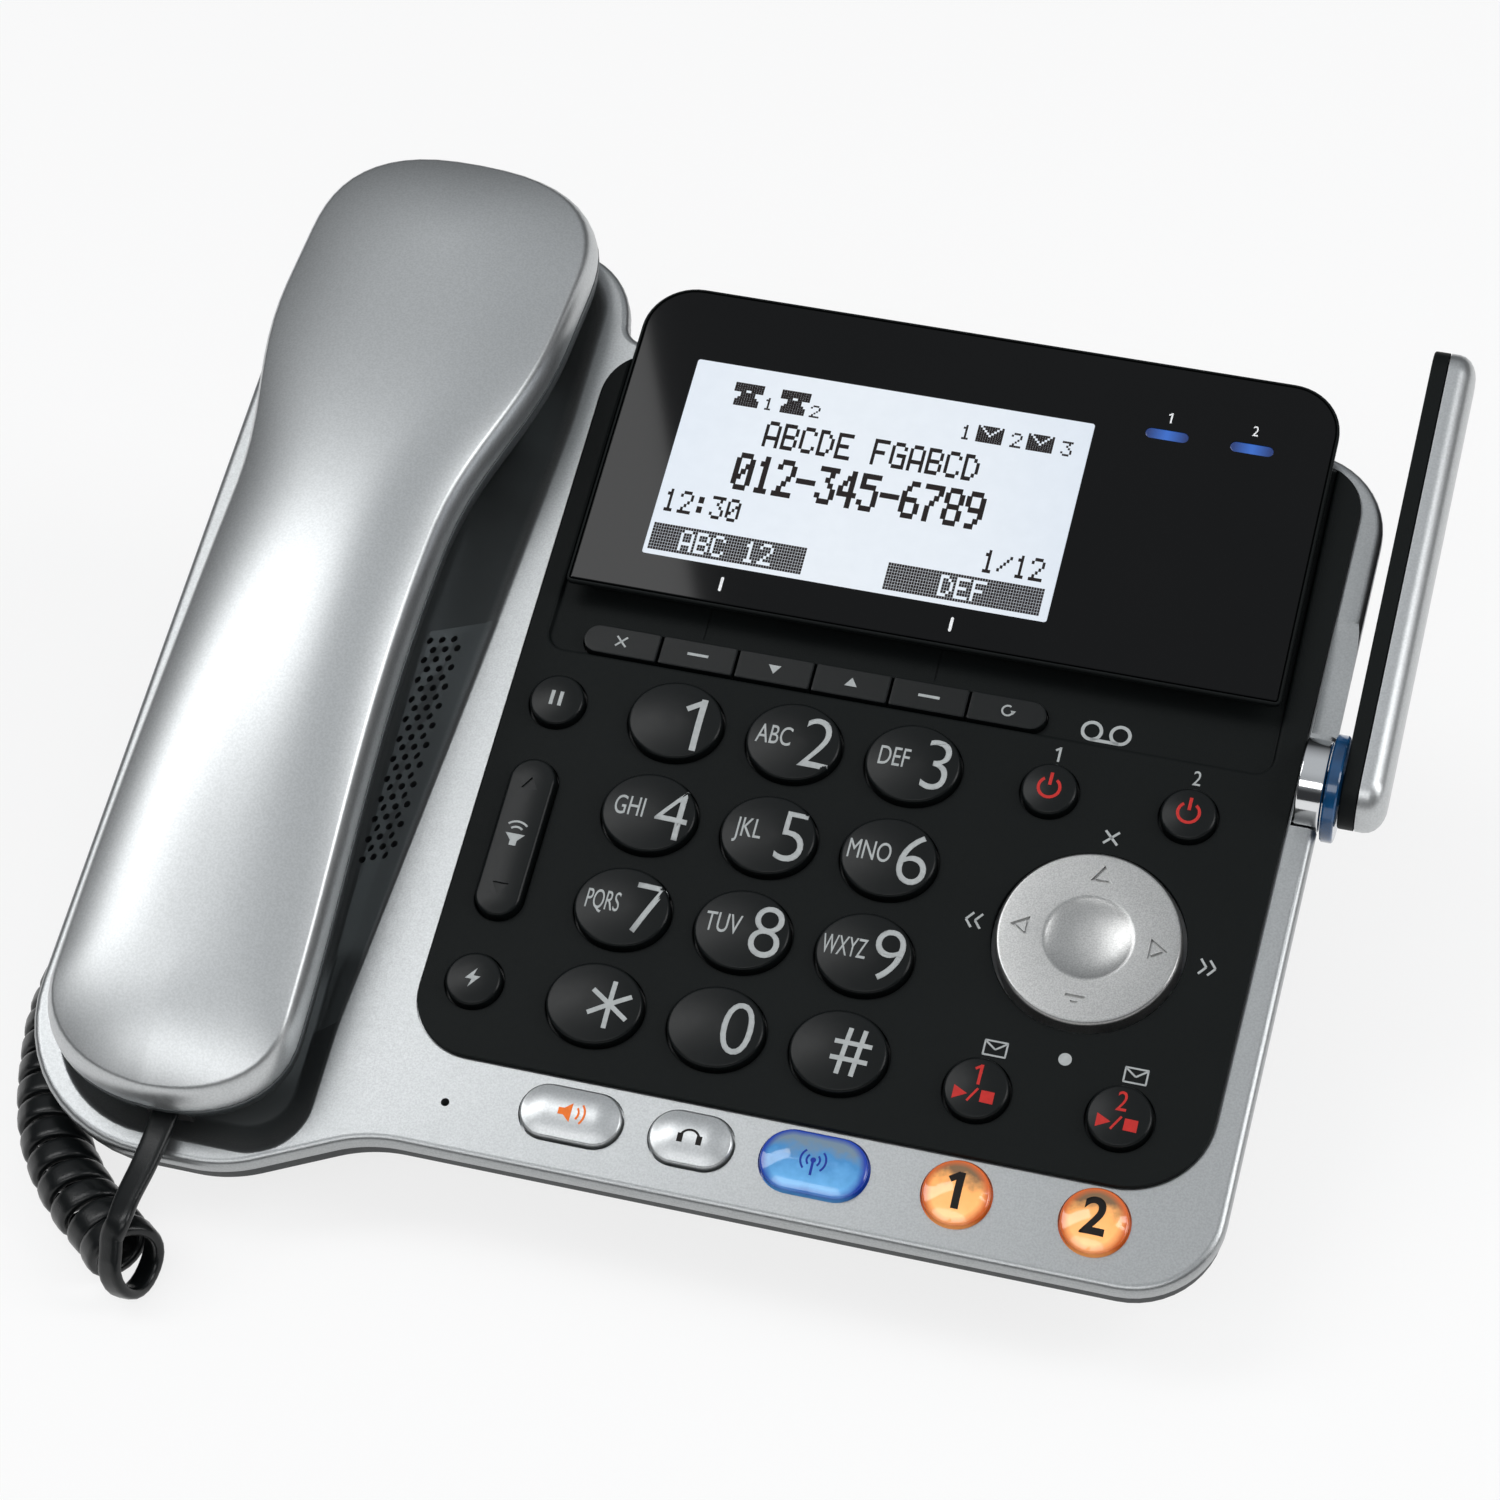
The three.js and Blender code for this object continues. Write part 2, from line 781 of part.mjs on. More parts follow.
// Fascia: black plate with the display recess, its hinge lugs and an opening for every key
function fascia() {
  const plate = prism(roundedPolygon(fasciaCorners), fasciaBottom, fasciaProud);
  const floorBox = rectangle(
    recessLeft + fasciaLedge - overrun,
    recessRight - fasciaLedge + overrun,
    recessFront - overrun * 2,
    fasciaRear - fasciaLedge * 2,
    [overrun, overrun, overrun, overrun],
  );
  const floor = prism(roundedPolygon(floorBox, 2), recessTop - recessFloor, recessTop);
  const recessCorner = fasciaLedge;
  const recessBox = rectangle(recessLeft, recessRight, recessFront, fasciaRear + overrun, [
    recessCorner,
    recessCorner,
    seatGap,
    seatGap,
  ]);
  const recess = prism(roundedPolygon(recessBox, 3), recessTop, fasciaProud + overrun);
  const rimFloor = rectangle(
    recessLeft - overrun,
    recessRight + overrun,
    recessFront - overrun,
    fasciaRear,
    [
      recessCorner,
      recessCorner,
      fasciaRearRadius,
      fasciaRearRadius,
    ],
  );
  const rimBase = prism(roundedPolygon(rimFloor, 3), fasciaBottom, recessTop);
  const openings = [...digitKeys, ...sideKeys].map((key) => keyHole(key, keyClearance));
  const rocker = prism(rockerOutline(rockerClearance), -rockerDepth - overrun, fasciaProud + overrun);
  const nav = disc(discRadius + discClearance, -discDepth - overrun, fasciaProud + overrun);
  let body = cut(plate, recess);
  body = join(body, common(rimBase, plate), floor);
  body = cut(
    body, ...openings, softRowHole(), rocker.translate(leftKeyX, 0, 0), nav.translate(discX, discY, 0),
  );
  return piece('fascia', join(body, ...displayLugs()), charcoal);
}

// Two lugs on the fascia carry stub pins that the display barrel turns on
function displayLugs() {
  const top = displayTop - displayRim - seatGap;
  const round = top - hingeZ;
  const box = rectangle(hingeY - round, hingeY + round, recessTop - recessFloor / 2, top, [
    seatGap,
    seatGap,
    round * roundEndShare,
    round * roundEndShare,
  ]);
  const outline = roundedPolygon(box, 4);
  const pin = ellipse(hingePinRadius, hingePinRadius, smallSegments).map((p) => p.add(hingeCentre()));
  const pinReach = hingePinLength - seatGap;
  return [
    barAlongX(outline, hingeLeft - seatGap - hingeLug, hingeLeft - seatGap),
    barAlongX(outline, hingeRight + seatGap, hingeRight + seatGap + hingeLug),
    barAlongX(pin, hingeLeft - seatGap - overrun, hingeLeft + pinReach),
    barAlongX(pin, hingeRight - pinReach, hingeRight + seatGap + overrun),
  ];
}

function hingeCentre() {
  return new THREE.Vector2(hingeY, hingeZ);
}

// Display: frame with its hinge barrel, glossy lens in front and screen module between
const displayCorners = rectangle(displayLeft, displayRight, displayFront, displayRear, [
  displayFrontRadius,
  displayFrontRadius,
  displayCornerRadius,
  displayCornerRadius,
]);

function screenBox(grow) {
  const halfWidth = screenWidth / 2 + grow;
  const halfHeight = screenHeight / 2 + grow;
  const radii = [overrun, overrun, overrun, overrun];
  const box = rectangle(
    screenX - halfWidth, screenX + halfWidth, screenY - halfHeight, screenY + halfHeight, radii,
  );
  return roundedPolygon(box, 2);
}

function displayFrame() {
  const rimBottom = displayTop - displayRim;
  const shelf = displayTop - displayLens - seatGap;
  const plate = prism(roundedPolygon(displayCorners), rimBottom, displayTop);
  const boxCorners = insetCorners(displayCorners, displayBoxInset);
  const box = prism(roundedPolygon(boxCorners), displayBoxBottom, rimBottom + overrun / 2);
  const barrelOutline = ellipse(hingeRadius, hingeRadius, smallSegments).map((p) => p.add(hingeCentre()));
  const barrel = barAlongX(barrelOutline, hingeLeft, hingeRight);
  const boreRadius = hingePinRadius + seatGap;
  const boreOutline = ellipse(boreRadius, boreRadius, smallSegments).map((p) => p.add(hingeCentre()));
  const lensPocket = prism(
    roundedPolygon(insetCorners(displayCorners, displayLip)), shelf, displayTop + overrun,
  );
  const screenPocket = prism(screenBox(seatGap), shelf - screenThickness - seatGap, displayTop);
  const lugSpace = hingeLug + seatGap * 3;
  const lugBox = rectangle(
    hingeY - hingeRadius - overrun,
    hingeY + hingeRadius + overrun,
    -overrun,
    rimBottom,
    [
      seatGap,
      seatGap,
      seatGap,
      seatGap,
    ],
  );
  const lugOutline = roundedPolygon(lugBox, 1);
  return piece(
    'display_frame',
    cut(
      cut(
        join(plate, box, barrel),
        barAlongX(lugOutline, hingeLeft - lugSpace, hingeLeft),
        barAlongX(lugOutline, hingeRight, hingeRight + lugSpace),
      ),
      lensPocket,
      screenPocket,
      barAlongX(boreOutline, hingeLeft - overrun, hingeLeft + hingePinLength),
      barAlongX(boreOutline, hingeRight - hingePinLength, hingeRight + overrun),
    ),
    charcoal,
  );
}

function displayLensPiece() {
  const outline = roundedPolygon(insetCorners(displayCorners, displayLip + seatGap));
  return piece('display_lens', prism(outline, displayTop - displayLens, displayTop), gloss);
}

function screenModule() {
  const top = displayTop - displayLens - seatGap;
  return piece('screen_module', prism(screenBox(0), top - screenThickness, top), screenWhite);
}

// Handset bay: a shallow trough with sloping sides, drawn once for the skin and once for its wall
function bayEdge(grow) {
  const shape = [
    [bayEdgeLeft, bayEdgeFront, bayMouthLeftRadius],
    [bayEdgeMouth, bayEdgeFront, bayMouthRadius],
    [bayEdgeMouth, bayMouthY, baySideRadius],
    [bayEdgeWaist, bayWaistY, baySideRadius],
    [bayEdgeRight, bayEarY, baySideRadius],
    [bayEdgeRight, bayEdgeRear, bayMouthRadius],
    [bayEdgeRearLeft, bayEdgeRear, bayEarLeftRadius],
    [bayEdgeLeft, bayWaistY, baySideRadius],
  ];
  return roundedPolygon(insetCorners(shape, -grow));
}

function bayFloor(grow) {
  const shape = [
    [bayFloorLeft, bayFloorFront, bayMouthLeftRadius],
    [bayFloorMouth, bayFloorFront, bayFloorRadius],
    [bayFloorMouth, bayMouthY, baySideRadius],
    [bayFloorWaist, bayWaistY, baySideRadius],
    [bayFloorRight, bayEarY, baySideRadius],
    [bayFloorRight, bayFloorRear, bayFloorRadius],
    [bayFloorRearLeft, bayFloorRear, bayFloorRadius],
    [bayFloorLeft, bayWaistY, baySideRadius],
  ];
  return roundedPolygon(insetCorners(shape, -grow));
}

function bayHollow() {
  const edge = bayEdge(0);
  const floor = bayFloor(0);
  const flare = overrun / bayDepth;
  const above = edge.map((p, i) => p.clone().addScaledVector(p.clone().sub(floor[i]), flare));
  return loft([ringAt(floor, -bayDepth), ringAt(edge, 0), ringAt(above, overrun)]);
}

function bayTub() {
  return loft([ringAt(bayFloor(bayWall), -bayDepth - bayWall), ringAt(bayEdge(bayWall), 0)]);
}

// Speaker grille: staggered columns of round holes through the sloping wall of the bay
function grilleHoles() {
  const holes = [];
  for (let column = 0; column < grilleColumns; column += 1) {
    for (let row = 0; row < grilleRows; row += 1) {
      const x = grilleFirstX + column * grillePitchX + (row % 2) * (grillePitchX / 2);
      const y = grilleFirstY + row * grillePitchY;
      const hole = disc(grilleHoleRadius, -bayDepth - bayWall - overrun, overrun, 6);
      holes.push(hole.translate(x, y, 0));
    }
  }
  return holes;
}

function restPad(y, top) {
  const half = restPadWidth / 2;
  const centre = handsetX;
  const box = rectangle(centre - half, centre + half, y - restPadLength / 2, y + restPadLength / 2, [
    overrun,
    overrun,
    overrun,
    overrun,
  ]);
  return prism(roundedPolygon(box, 2), -bayDepth - bayWall / 2, top - seatGap);
}

// The right rim dips towards the aerial hinge and rises again to a knuckle in front of it
function rimKnuckle() {
  const top = knuckleZ + knuckleRadius;
  const rear = knuckleY + knuckleRadius;
  const front = knuckleY - knuckleFoot;
  const box = [
    [front, -shellSkirt, seatGap],
    [rear, -shellSkirt, seatGap],
    [rear, top, knuckleRadius * roundEndShare],
    [knuckleY - knuckleRadius, top, knuckleRadius],
    [front + knuckleRadius / 2, 0, knuckleRadius / 2],
  ];
  return barAlongX(roundedPolygon(box, 4), hubLeft, baseRight);
}

function rimDip() {
  const radius = (rimDipReach ** 2 + rimDipDepth ** 2) / (2 * rimDipDepth);
  const centre = new THREE.Vector2(rimDipY, radius - rimDipDepth);
  const outline = ellipse(radius, radius, roundSegments * 4).map((p) => p.add(centre));
  const bar = barAlongX(outline, hubLeft, baseRearRight + overrun);
  const keep = prism(
    roundedPolygon(
      rectangle(
        hubLeft - overrun,
        baseRearRight + overrun * 2,
        rimDipY - overrun,
        rimDipY + rimDipReach + overrun,
        [
          seatGap,
          seatGap,
          seatGap,
          seatGap,
        ],
      ),
      1,
    ),
    -shellSkirt,
    overrun * 2,
  );
  return common(bar, keep);
}

function hubSpace() {
  const radius = hubRadius + seatGap;
  const outline = ellipse(radius, radius, roundSegments).map((p) => p.add(new THREE.Vector2(aerialY, 0)));
  return barAlongX(outline, hubLeft - seatGap, baseRearRight + overrun);
}

function topShell() {
  const outer = roundedPolygon(baseCorners);
  const inner = roundedPolygon(insetCorners(baseCorners, shellWall));
  const slab = cut(prism(outer, -shellSkirt, 0), prism(inner, -shellSkirt - overrun, -shellPlate));
  const tub = bayTub();
  const opening = prism(
    roundedPolygon(insetCorners(fasciaCorners, fasciaLedge)), -shellPlate - overrun, overrun,
  );
  const pocket = prism(
    roundedPolygon(insetCorners(fasciaCorners, -seatGap)), fasciaBottom - seatGap, overrun,
  );
  const micHole = disc(grilleHoleRadius, -shellPlate - overrun, overrun, 8).translate(
    leftKeyX + overrun, frontKeyY, 0,
  );
  const plunger = disc(hookRadius + seatGap, -bayDepth - bayWall - overrun, 0, smallSegments);
  const skin = join(slab, tub, rimKnuckle());
  const pads = [restPad(earPadY, earCupBottom), restPad(mouthPadY, mouthCupBottom)];
  const opened = cut(skin, bayHollow(), opening, pocket, micHole, hubSpace(), rimDip());
  const padded = join(opened, ...pads);
  const holes = frontKeys.map((key) => keyHole(key, keyClearance));
  return piece(
    'top_shell',
    cut(padded, ...holes, ...grilleHoles(), plunger.translate(hookX, hookY, 0)),
    silver,
  );
}

// Bottom shell: a shallow band under the rim, then a belly that stays out of sight from above
function traySkin(wall) {
  const top = -shellSkirt - seatGap;
  const outline = (inset) => roundedPolygon(insetCorners(baseCorners, inset + wall));
  const turned = top - trayBand - trayTurn;
  const lift = wall > 0 ? wall : 0;
  const rings = [
    ringAt(roundedPolygon(insetCorners(bellyCorners, wall)), -bellyDepth + lift),
    ringAt(outline(trayTurnInset), turned + lift),
    ringAt(outline(trayGroove), top - trayBand + lift),
    ringAt(outline(trayGroove), top + (wall > 0 ? overrun : 0)),
  ];
  return loft(rings);
}

function aboveTable(height) {
  const reach = baseRearRight - baseLeft;
  const box = rectangle(-reach, reach, -reach, reach, [overrun, overrun, overrun, overrun]);
  return prism(roundedPolygon(box, 1), height, height + reach).applyMatrix4(tableToPlate);
}

function basePlugCorners(grow) {
  const halfWidth = plugWidth / 2 + grow;
  const halfHeight = plugHeight / 2 + grow;
  const radii = [seatGap, seatGap, seatGap, seatGap];
  return rectangle(-halfWidth, halfWidth, -halfHeight, halfHeight, radii);
}

function jackBlockBox(grow, rear) {
  const half = jackBlockWidth / 2 + grow;
  const radii = [seatGap, seatGap, seatGap, seatGap];
  return roundedPolygon(
    rectangle(jackBlockX - half, jackBlockX + half, jackBlockFront - grow, rear, radii), 1,
  );
}

const rearFeet = [standLeft + standFootInset, standRight - standFootInset].map(
  (x) => [x, standRear - standFootInset],
);
const frontFeet = [
  [frontFootLeftX, frontFootLeftY],
  [frontFootRightX, frontFootRightY],
];

// Short posts carry the two front feet
function frontPosts() {
  return frontFeet.map(([x, y]) => {
    const post = disc(standPostRadius, standBottom, standBottom + plateLift, smallSegments).translate(
      x, y, 0,
    );
    return common(
      post.applyMatrix4(tableToPlate), prism(postLimit(), -bellyDepth * 2, trayWall - bellyDepth),
    );
  });
}

function postLimit() {
  const reach = baseRearRight - baseLeft;
  const radii = [overrun, overrun, overrun, overrun];
  return roundedPolygon(rectangle(-reach, reach, -reach, reach, radii), 1);
}

function bottomShell() {
  const outer = join(common(traySkin(0), aboveTable(standBottom)), ...frontPosts());
  const inner = common(traySkin(trayWall), aboveTable(standBottom + trayWall));
  const plugHole = prism(
    roundedPolygon(basePlugCorners(seatGap), 1), -bellyDepth - overrun, -bellyDepth + trayWall * 2,
  );
  const jackBottom = jackBlockTop - jackBlockHeight;
  const jackHole = prism(jackBlockBox(seatGap, baseRear), jackBottom - seatGap, jackBlockTop + seatGap);
  return piece(
    'bottom_shell',
    cut(outer, inner, hubSpace(), plugHole.translate(basePlugX, basePlugY, 0), jackHole),
    darkGrey,
  );
}

// Rear jack block: two line sockets and a power inlet, facing backwards
function lineJackBlock() {
  const block = prism(jackBlockBox(0, jackBlockRear), jackBlockTop - jackBlockHeight, jackBlockTop);
  const middle = jackBlockTop - jackBlockHeight / 2;
  const radii = [seatGap, seatGap, seatGap, seatGap];
  const sockets = [-1, 0].map((place) => {
    const x = jackBlockX + place * jackPitch;
    const box = rectangle(
      x - jackWidth / 2, x + jackWidth / 2, jackBlockRear - jackDepth, jackBlockRear + overrun, radii,
    );
    return prism(roundedPolygon(box, 1), middle - jackHeight / 2, middle + jackHeight / 2);
  });
  const inlet = disc(powerInletRadius, 0, jackDepth + overrun, smallSegments).rotateX(-Math.PI / 2);
  inlet.translate(jackBlockX + jackPitch, jackBlockRear - jackDepth, middle);
  return piece('line_jack_block', cut(block, ...sockets, inlet), darkGrey);
}

// Inner parts: key mat, circuit board, loudspeaker and hook plunger
function keyMat() {
  const front = roundedPolygon(
    rectangle(matFrontLeft, boardRight, matFront, boardFront, [matMargin, matMargin, seatGap, seatGap]),
    2,
  );
  const main = rectangle(boardLeft, boardRight, boardFront - overrun, recessFront + softKeyHeight * 2, [
    matMargin,
    matMargin,
    matMargin,
    matMargin,
  ]);
  const sheet = join(prism(front, matBottom, matTop), prism(roundedPolygon(main, 2), matBottom, matTop));
  return piece('key_mat', sheet, silicone);
}

function circuitBoard() {
  const box = rectangle(
    boardLeft, boardRight, boardFront, boardRear, [matMargin, matMargin, matMargin, matMargin],
  );
  return piece(
    'circuit_board', prism(roundedPolygon(box, 2), boardTop - boardThickness, boardTop), boardGreen,
  );
}

function loudspeaker() {
  const top = -bayDepth - bayWall - seatGap;
  const profile = [
    [0, top - speakerDepth],
    [speakerMagnetRadius, top - speakerDepth],
    [speakerMagnetRadius, top - speakerDepth / 2],
    [speakerRadius, top - speakerRim],
    [speakerRadius, top],
    [0, top],
  ];
  const mesh = piece('loudspeaker', lathe(profile, keySegments), darkGrey);
  mesh.position.set(speakerX, speakerY, 0);
  return mesh;
}

function hookPlunger() {
  const top = earCupBottom - seatGap;
  const floorUnder = -bayDepth - bayWall;
  const flangeTop = floorUnder - hookTravel - seatGap;
  const profile = [
    [0, flangeTop - hookFlange],
    [hookRadius + hookFlange, flangeTop - hookFlange],
    [hookRadius + hookFlange, flangeTop],
    [hookRadius, flangeTop],
    [hookRadius, top - seatGap],
    [hookRadius - seatGap, top],
    [0, top],
  ];
  const mesh = piece('hook_plunger', lathe(profile, smallSegments), keyBlack);
  mesh.position.set(hookX, hookY, 0);
  return mesh;
}

// Aerial: chrome hub on the base, blue ring, and two halves that swing together
const aerialPlace = new THREE.Vector2(aerialY, 0);
const ringLeft = hubRight + seatGap;
const aerialLeft = ringLeft + ringWidth + seatGap;

function aerialHub() {
  const profile = ellipse(hubRadius, hubRadius, roundSegments).map((p) => p.add(aerialPlace));
  const boreRadius = aerialPinRadius + aerialPinClearance;
  const bore = ellipse(boreRadius, boreRadius, smallSegments).map((p) => p.add(aerialPlace));
  const body = cut(
    barAlongX(profile, hubLeft, hubRight), barAlongX(bore, hubRight - hubBoreDepth, hubRight + overrun),
  );
  return piece('aerial_hub', body, chrome);
}

function aerialRing() {
  const profile = ellipse(ringRadius, ringRadius, roundSegments).map((p) => p.add(aerialPlace));
  const boreRadius = aerialPinRadius + aerialPinClearance;
  const bore = ellipse(boreRadius, boreRadius, smallSegments).map((p) => p.add(aerialPlace));
  const right = ringLeft + ringWidth;
  const body = cut(
    barAlongX(profile, ringLeft, right), barAlongX(bore, ringLeft - overrun, right + overrun),
  );
  return piece('aerial_ring', body, blue);
}

function aerialOutline(inset) {
  const end = aerialEndRadius - inset;
  const tip = aerialTipRadius - inset;
  const box = [
    [aerialY - end, -end, end * roundEndShare],
    [aerialY + aerialLength - inset, -tip, tip * roundEndShare],
    [aerialY + aerialLength - inset, tip, tip * roundEndShare],
    [aerialY - end, end, end * roundEndShare],
  ];
  return roundedPolygon(box);
}

function aerialInner() {
  const pin = ellipse(aerialPinRadius, aerialPinRadius, smallSegments).map((p) => p.add(aerialPlace));
  const half = barAlongX(aerialOutline(0), aerialLeft, aerialLeft + aerialInnerWidth);
  const pinLeft = hubRight - hubBoreDepth + seatGap;
  return piece('aerial_inner_half', join(half, barAlongX(pin, pinLeft, aerialLeft + overrun)), charcoal);
}

function aerialOuter() {
  const left = aerialLeft + aerialInnerWidth + seatGap;
  const rings = aerialWidthShares.map((share, i) => {
    const outline = aerialOutline(aerialInsetShares[i] * aerialTipRadius);
    return ringAt(outline, left + share * aerialOuterWidth);
  });
  return piece('aerial_outer_half', loft(rings).applyMatrix4(lyingAlongX), silver);
}

// Handset: half width and seam height along its length, from the mouth end (0) to the ear end (1)
function smooth(a, b, share) {
  return THREE.MathUtils.lerp(a, b, THREE.MathUtils.smootherstep(share, 0, 1));
}

function halfWidthAt(share) {
  if (share < waistStationShare) {
    return smooth(mouthHalfWidth, waistHalfWidth, share / waistStationShare);
  }
  return smooth(
    waistHalfWidth, earHalfWidth, (share - waistStationShare) / (earStationShare - waistStationShare),
  );
}

function endRounding(share) {
  const mouth = THREE.MathUtils.clamp(1 - (share * handsetLength) / mouthEndLength, 0, 1);
  const ear = THREE.MathUtils.clamp(1 - ((1 - share) * handsetLength) / earEndLength, 0, 1);
  const mouthRounding = (1 - mouth ** mouthEndPower) ** (1 / mouthEndPower);
  return mouthRounding * (1 - ear ** earEndPower) ** (1 / earEndPower);
}

function seamAt(y) {
  const share = THREE.MathUtils.clamp(y / handsetLength + 1 / 2, 0, 1);
  const arch = Math.sin(Math.PI * share) ** seamArchPower;
  return THREE.MathUtils.lerp(seamMouth, seamEar, share) + seamArch * arch;
}

function handsetOutline(inset) {
  const right = [];
  for (let i = 0; i <= handsetStations; i += 1) {
    const share = (1 - Math.cos((Math.PI * i) / handsetStations)) / 2;
    const tip = handsetTipShare * mouthHalfWidth;
    const half = Math.max(halfWidthAt(share) * endRounding(share) - inset, tip);
    right.push(new THREE.Vector2(half, (share - 1 / 2) * (handsetLength - 2 * inset)));
  }
  const left = right.map((p) => new THREE.Vector2(-p.x, p.y)).reverse();
  return [...right, ...left];
}

function handsetRing(inset, rise) {
  return handsetOutline(inset).map((p) => new THREE.Vector3(p.x, p.y, seamAt(p.y) + rise));
}

function handsetBack() {
  const seam = seatGap / 2;
  const rings = backRiseShares.map((share, i) => {
    return handsetRing(backInsetShares[i] * ridgeInset, seam + share * (ridgeHeight - seam));
  });
  crownShares.forEach((share, i) => {
    const reach = waistHalfWidth - ridgeInset;
    rings.push(handsetRing(ridgeInset + crownInsetShares[i] * reach, ridgeHeight + share * crownHeight));
  });
  return piece('handset_back', loft(rings, ladderCap), silver);
}

// An ear or mouth cup under the handset, tapering towards its face
function handsetCup(centre, length, halfWidth, radius, bottom) {
  const outline = (grow) => {
    const box = rectangle(
      -halfWidth - grow,
      halfWidth + grow,
      centre - length / 2 - grow,
      centre + length / 2 + grow,
      [
        radius,
        radius,
        radius,
        radius,
      ],
    );
    return roundedPolygon(box, 5);
  };
  const top = outline(0).map((p) => new THREE.Vector3(p.x, p.y, seamAt(p.y) - cupSink));
  return loft([ringAt(outline(-cupTaper), bottom), top]);
}

const handsetEnd = -handsetLength / 2 + faceInset * faceInsetShares[1];
const plugFront = handsetEnd + seatGap * 4;

function handsetFace() {
  const rings = faceDropShares.map((share, i) => {
    return handsetRing(faceInsetShares[i] * faceInset, -seatGap / 2 - share * faceDepth);
  });
  const ear = handsetCup(earCupCentre, earCupLength, earCupHalfWidth, earCupRadius, earCupBottom);
  const mouth = handsetCup(
    mouthCupCentre, mouthCupLength, mouthCupHalfWidth, mouthCupRadius, mouthCupBottom,
  );
  const socket = prism(
    roundedPolygon(plugBox(seatGap), 1), plugZ - plugHeight / 2 - seatGap, plugZ + plugHeight / 2 + seatGap,
  );
  const shell = loft(rings.reverse(), ladderCap);
  return piece('handset_face', cut(join(shell, ear, mouth), socket), silver);
}

function plugBox(grow) {
  const half = plugWidth / 2 + grow;
  const radii = [seatGap, seatGap, seatGap, seatGap];
  const front = grow > 0 ? handsetEnd - faceInset : plugFront;
  return rectangle(plugX - half, plugX + half, front, plugFront + plugLength + grow, radii);
}

function handsetPlug() {
  const body = prism(roundedPolygon(plugBox(0), 1), plugZ - plugHeight / 2, plugZ + plugHeight / 2);
  return piece('cord_plug_handset', body, rubber);
}

function handset() {
  const group = new THREE.Group();
  group.add(handsetBack(), handsetFace(), handsetPlug());
  group.position.set(handsetX, handsetY, 0);
  group.rotation.z = THREE.MathUtils.degToRad(handsetYaw);
  return group;
}

// Plug of the cord under the base
function basePlug() {
  const top = -bellyDepth + trayWall + plugLength - plugSocketDepth;
  const body = prism(roundedPolygon(basePlugCorners(0), 1), top - plugLength, top);
  const mesh = piece('cord_plug_base', body, rubber);
  mesh.position.set(basePlugX, basePlugY, 0);
  return mesh;
}

// Desk stand: an open-bottomed wedge under the belly, drawn in the table frame
function standProfile(inset, drop) {
  const bellyAt = (y) => {
    const slope = Math.tan(tilt);
    const seat = onTable(0, 0, -bellyDepth - seatGap);
    return seat.z + (y - seat.y) * slope;
  };
  const front = standFrontTop + inset;
  const rear = standRear - inset;
  const lower = standBottom - drop;
  return [
    new THREE.Vector2(standFrontBottom + inset, lower),
    new THREE.Vector2(rear, lower),
    new THREE.Vector2(rear, bellyAt(rear) - inset),
    new THREE.Vector2(front, bellyAt(front) - inset),
  ];
}

function deskStand() {
  const bay = (standRight - standLeft - standWall) / standBays;
  const hollows = [];
  for (let i = 0; i < standBays; i += 1) {
    const left = standLeft + standWall + i * bay;
    hollows.push(barAlongX(standProfile(standWall, overrun), left, left + bay - standWall));
  }
  const body = cut(barAlongX(standProfile(0, 0), standLeft, standRight), ...hollows);
  const posts = rearFeet.map(([x, y]) => {
    const post = disc(standPostRadius, standBottom, standBottom + standPostRadius * 2, smallSegments);
    return common(post.translate(x, y, 0), barAlongX(standProfile(0, 0), standLeft, standRight));
  });
  return piece('desk_stand', join(body, ...posts), darkGrey);
}

function feet() {
  const places = {
    front_left: frontFeet[0],
    front_right: frontFeet[1],
    rear_left: rearFeet[0],
    rear_right: rearFeet[1],
  };
  return Object.entries(places).map(([side, [x, y]]) => {
    const profile = [
      [0, 0],
      [footRadius - footHeight / 3, 0],
      [footRadius, footHeight / 3],
      [footRadius, footHeight],
      [0, footHeight],
    ];
    const mesh = piece(`foot_${side}`, lathe(profile, smallSegments), rubber);
    mesh.position.set(x, y, 0);
    return mesh;
  });
}

// Curly cord: the coil's middle line runs from its open front end round behind the base
const coilRoute = new THREE.CatmullRomCurve3(
  coilPlaces.map(([x, y, z]) => new THREE.Vector3(x, y, z)),
  false,
  'centripetal',
);
coilRoute.arcLengthDivisions = coilPlaces.length * coilTurns;
const up = new THREE.Vector3(0, 0, 1);

// A tube through frames: each frame has a place, a width direction and a thickness direction
function ribbonTube(frames, section) {
  const rings = frames.map(({ place, across, out }) => {
    return section.map(([w, t]) => place.clone().addScaledVector(across, w).addScaledVector(out, t));
  });
  const count = section.length;
  const positions = rings.flat().flatMap((p) => [p.x, p.y, p.z]);
  const indices = [];
  for (let r = 0; r < rings.length - 1; r += 1) {
    for (let i = 0; i < count; i += 1) {
      const a = r * count + i;
      const b = r * count + ((i + 1) % count);
      indices.push(a, b, a + count, b, b + count, a + count);
    }
  }
  const last = (rings.length - 1) * count;
  for (let i = 1; i < count - 1; i += 1) {
    indices.push(i + 1, i, 0, last, last + i, last + i + 1);
  }
  const geometry = new THREE.BufferGeometry();
  geometry.setAttribute('position', new THREE.Float32BufferAttribute(positions, 3));
  geometry.setIndex(indices);
  return outward(geometry);
}

const halfCord = cordWidth / 2;
const halfThick = cordThickness / 2;
const curlSection = [
  [-halfCord, -halfThick],
  [halfCord, -halfThick],
  [halfCord, halfThick / 2],
  [0, halfThick],
  [-halfCord, halfThick / 2],
];
const flatSection = [];
for (let i = 0; i < leadSection; i += 1) {
  const angle = (2 * Math.PI * (i + 0.5)) / leadSection;
  const squash = Math.max(Math.abs(Math.cos(angle)), Math.abs(Math.sin(angle)));
  flatSection.push([(halfCord * Math.cos(angle)) / squash, (halfThick * Math.sin(angle)) / squash]);
}

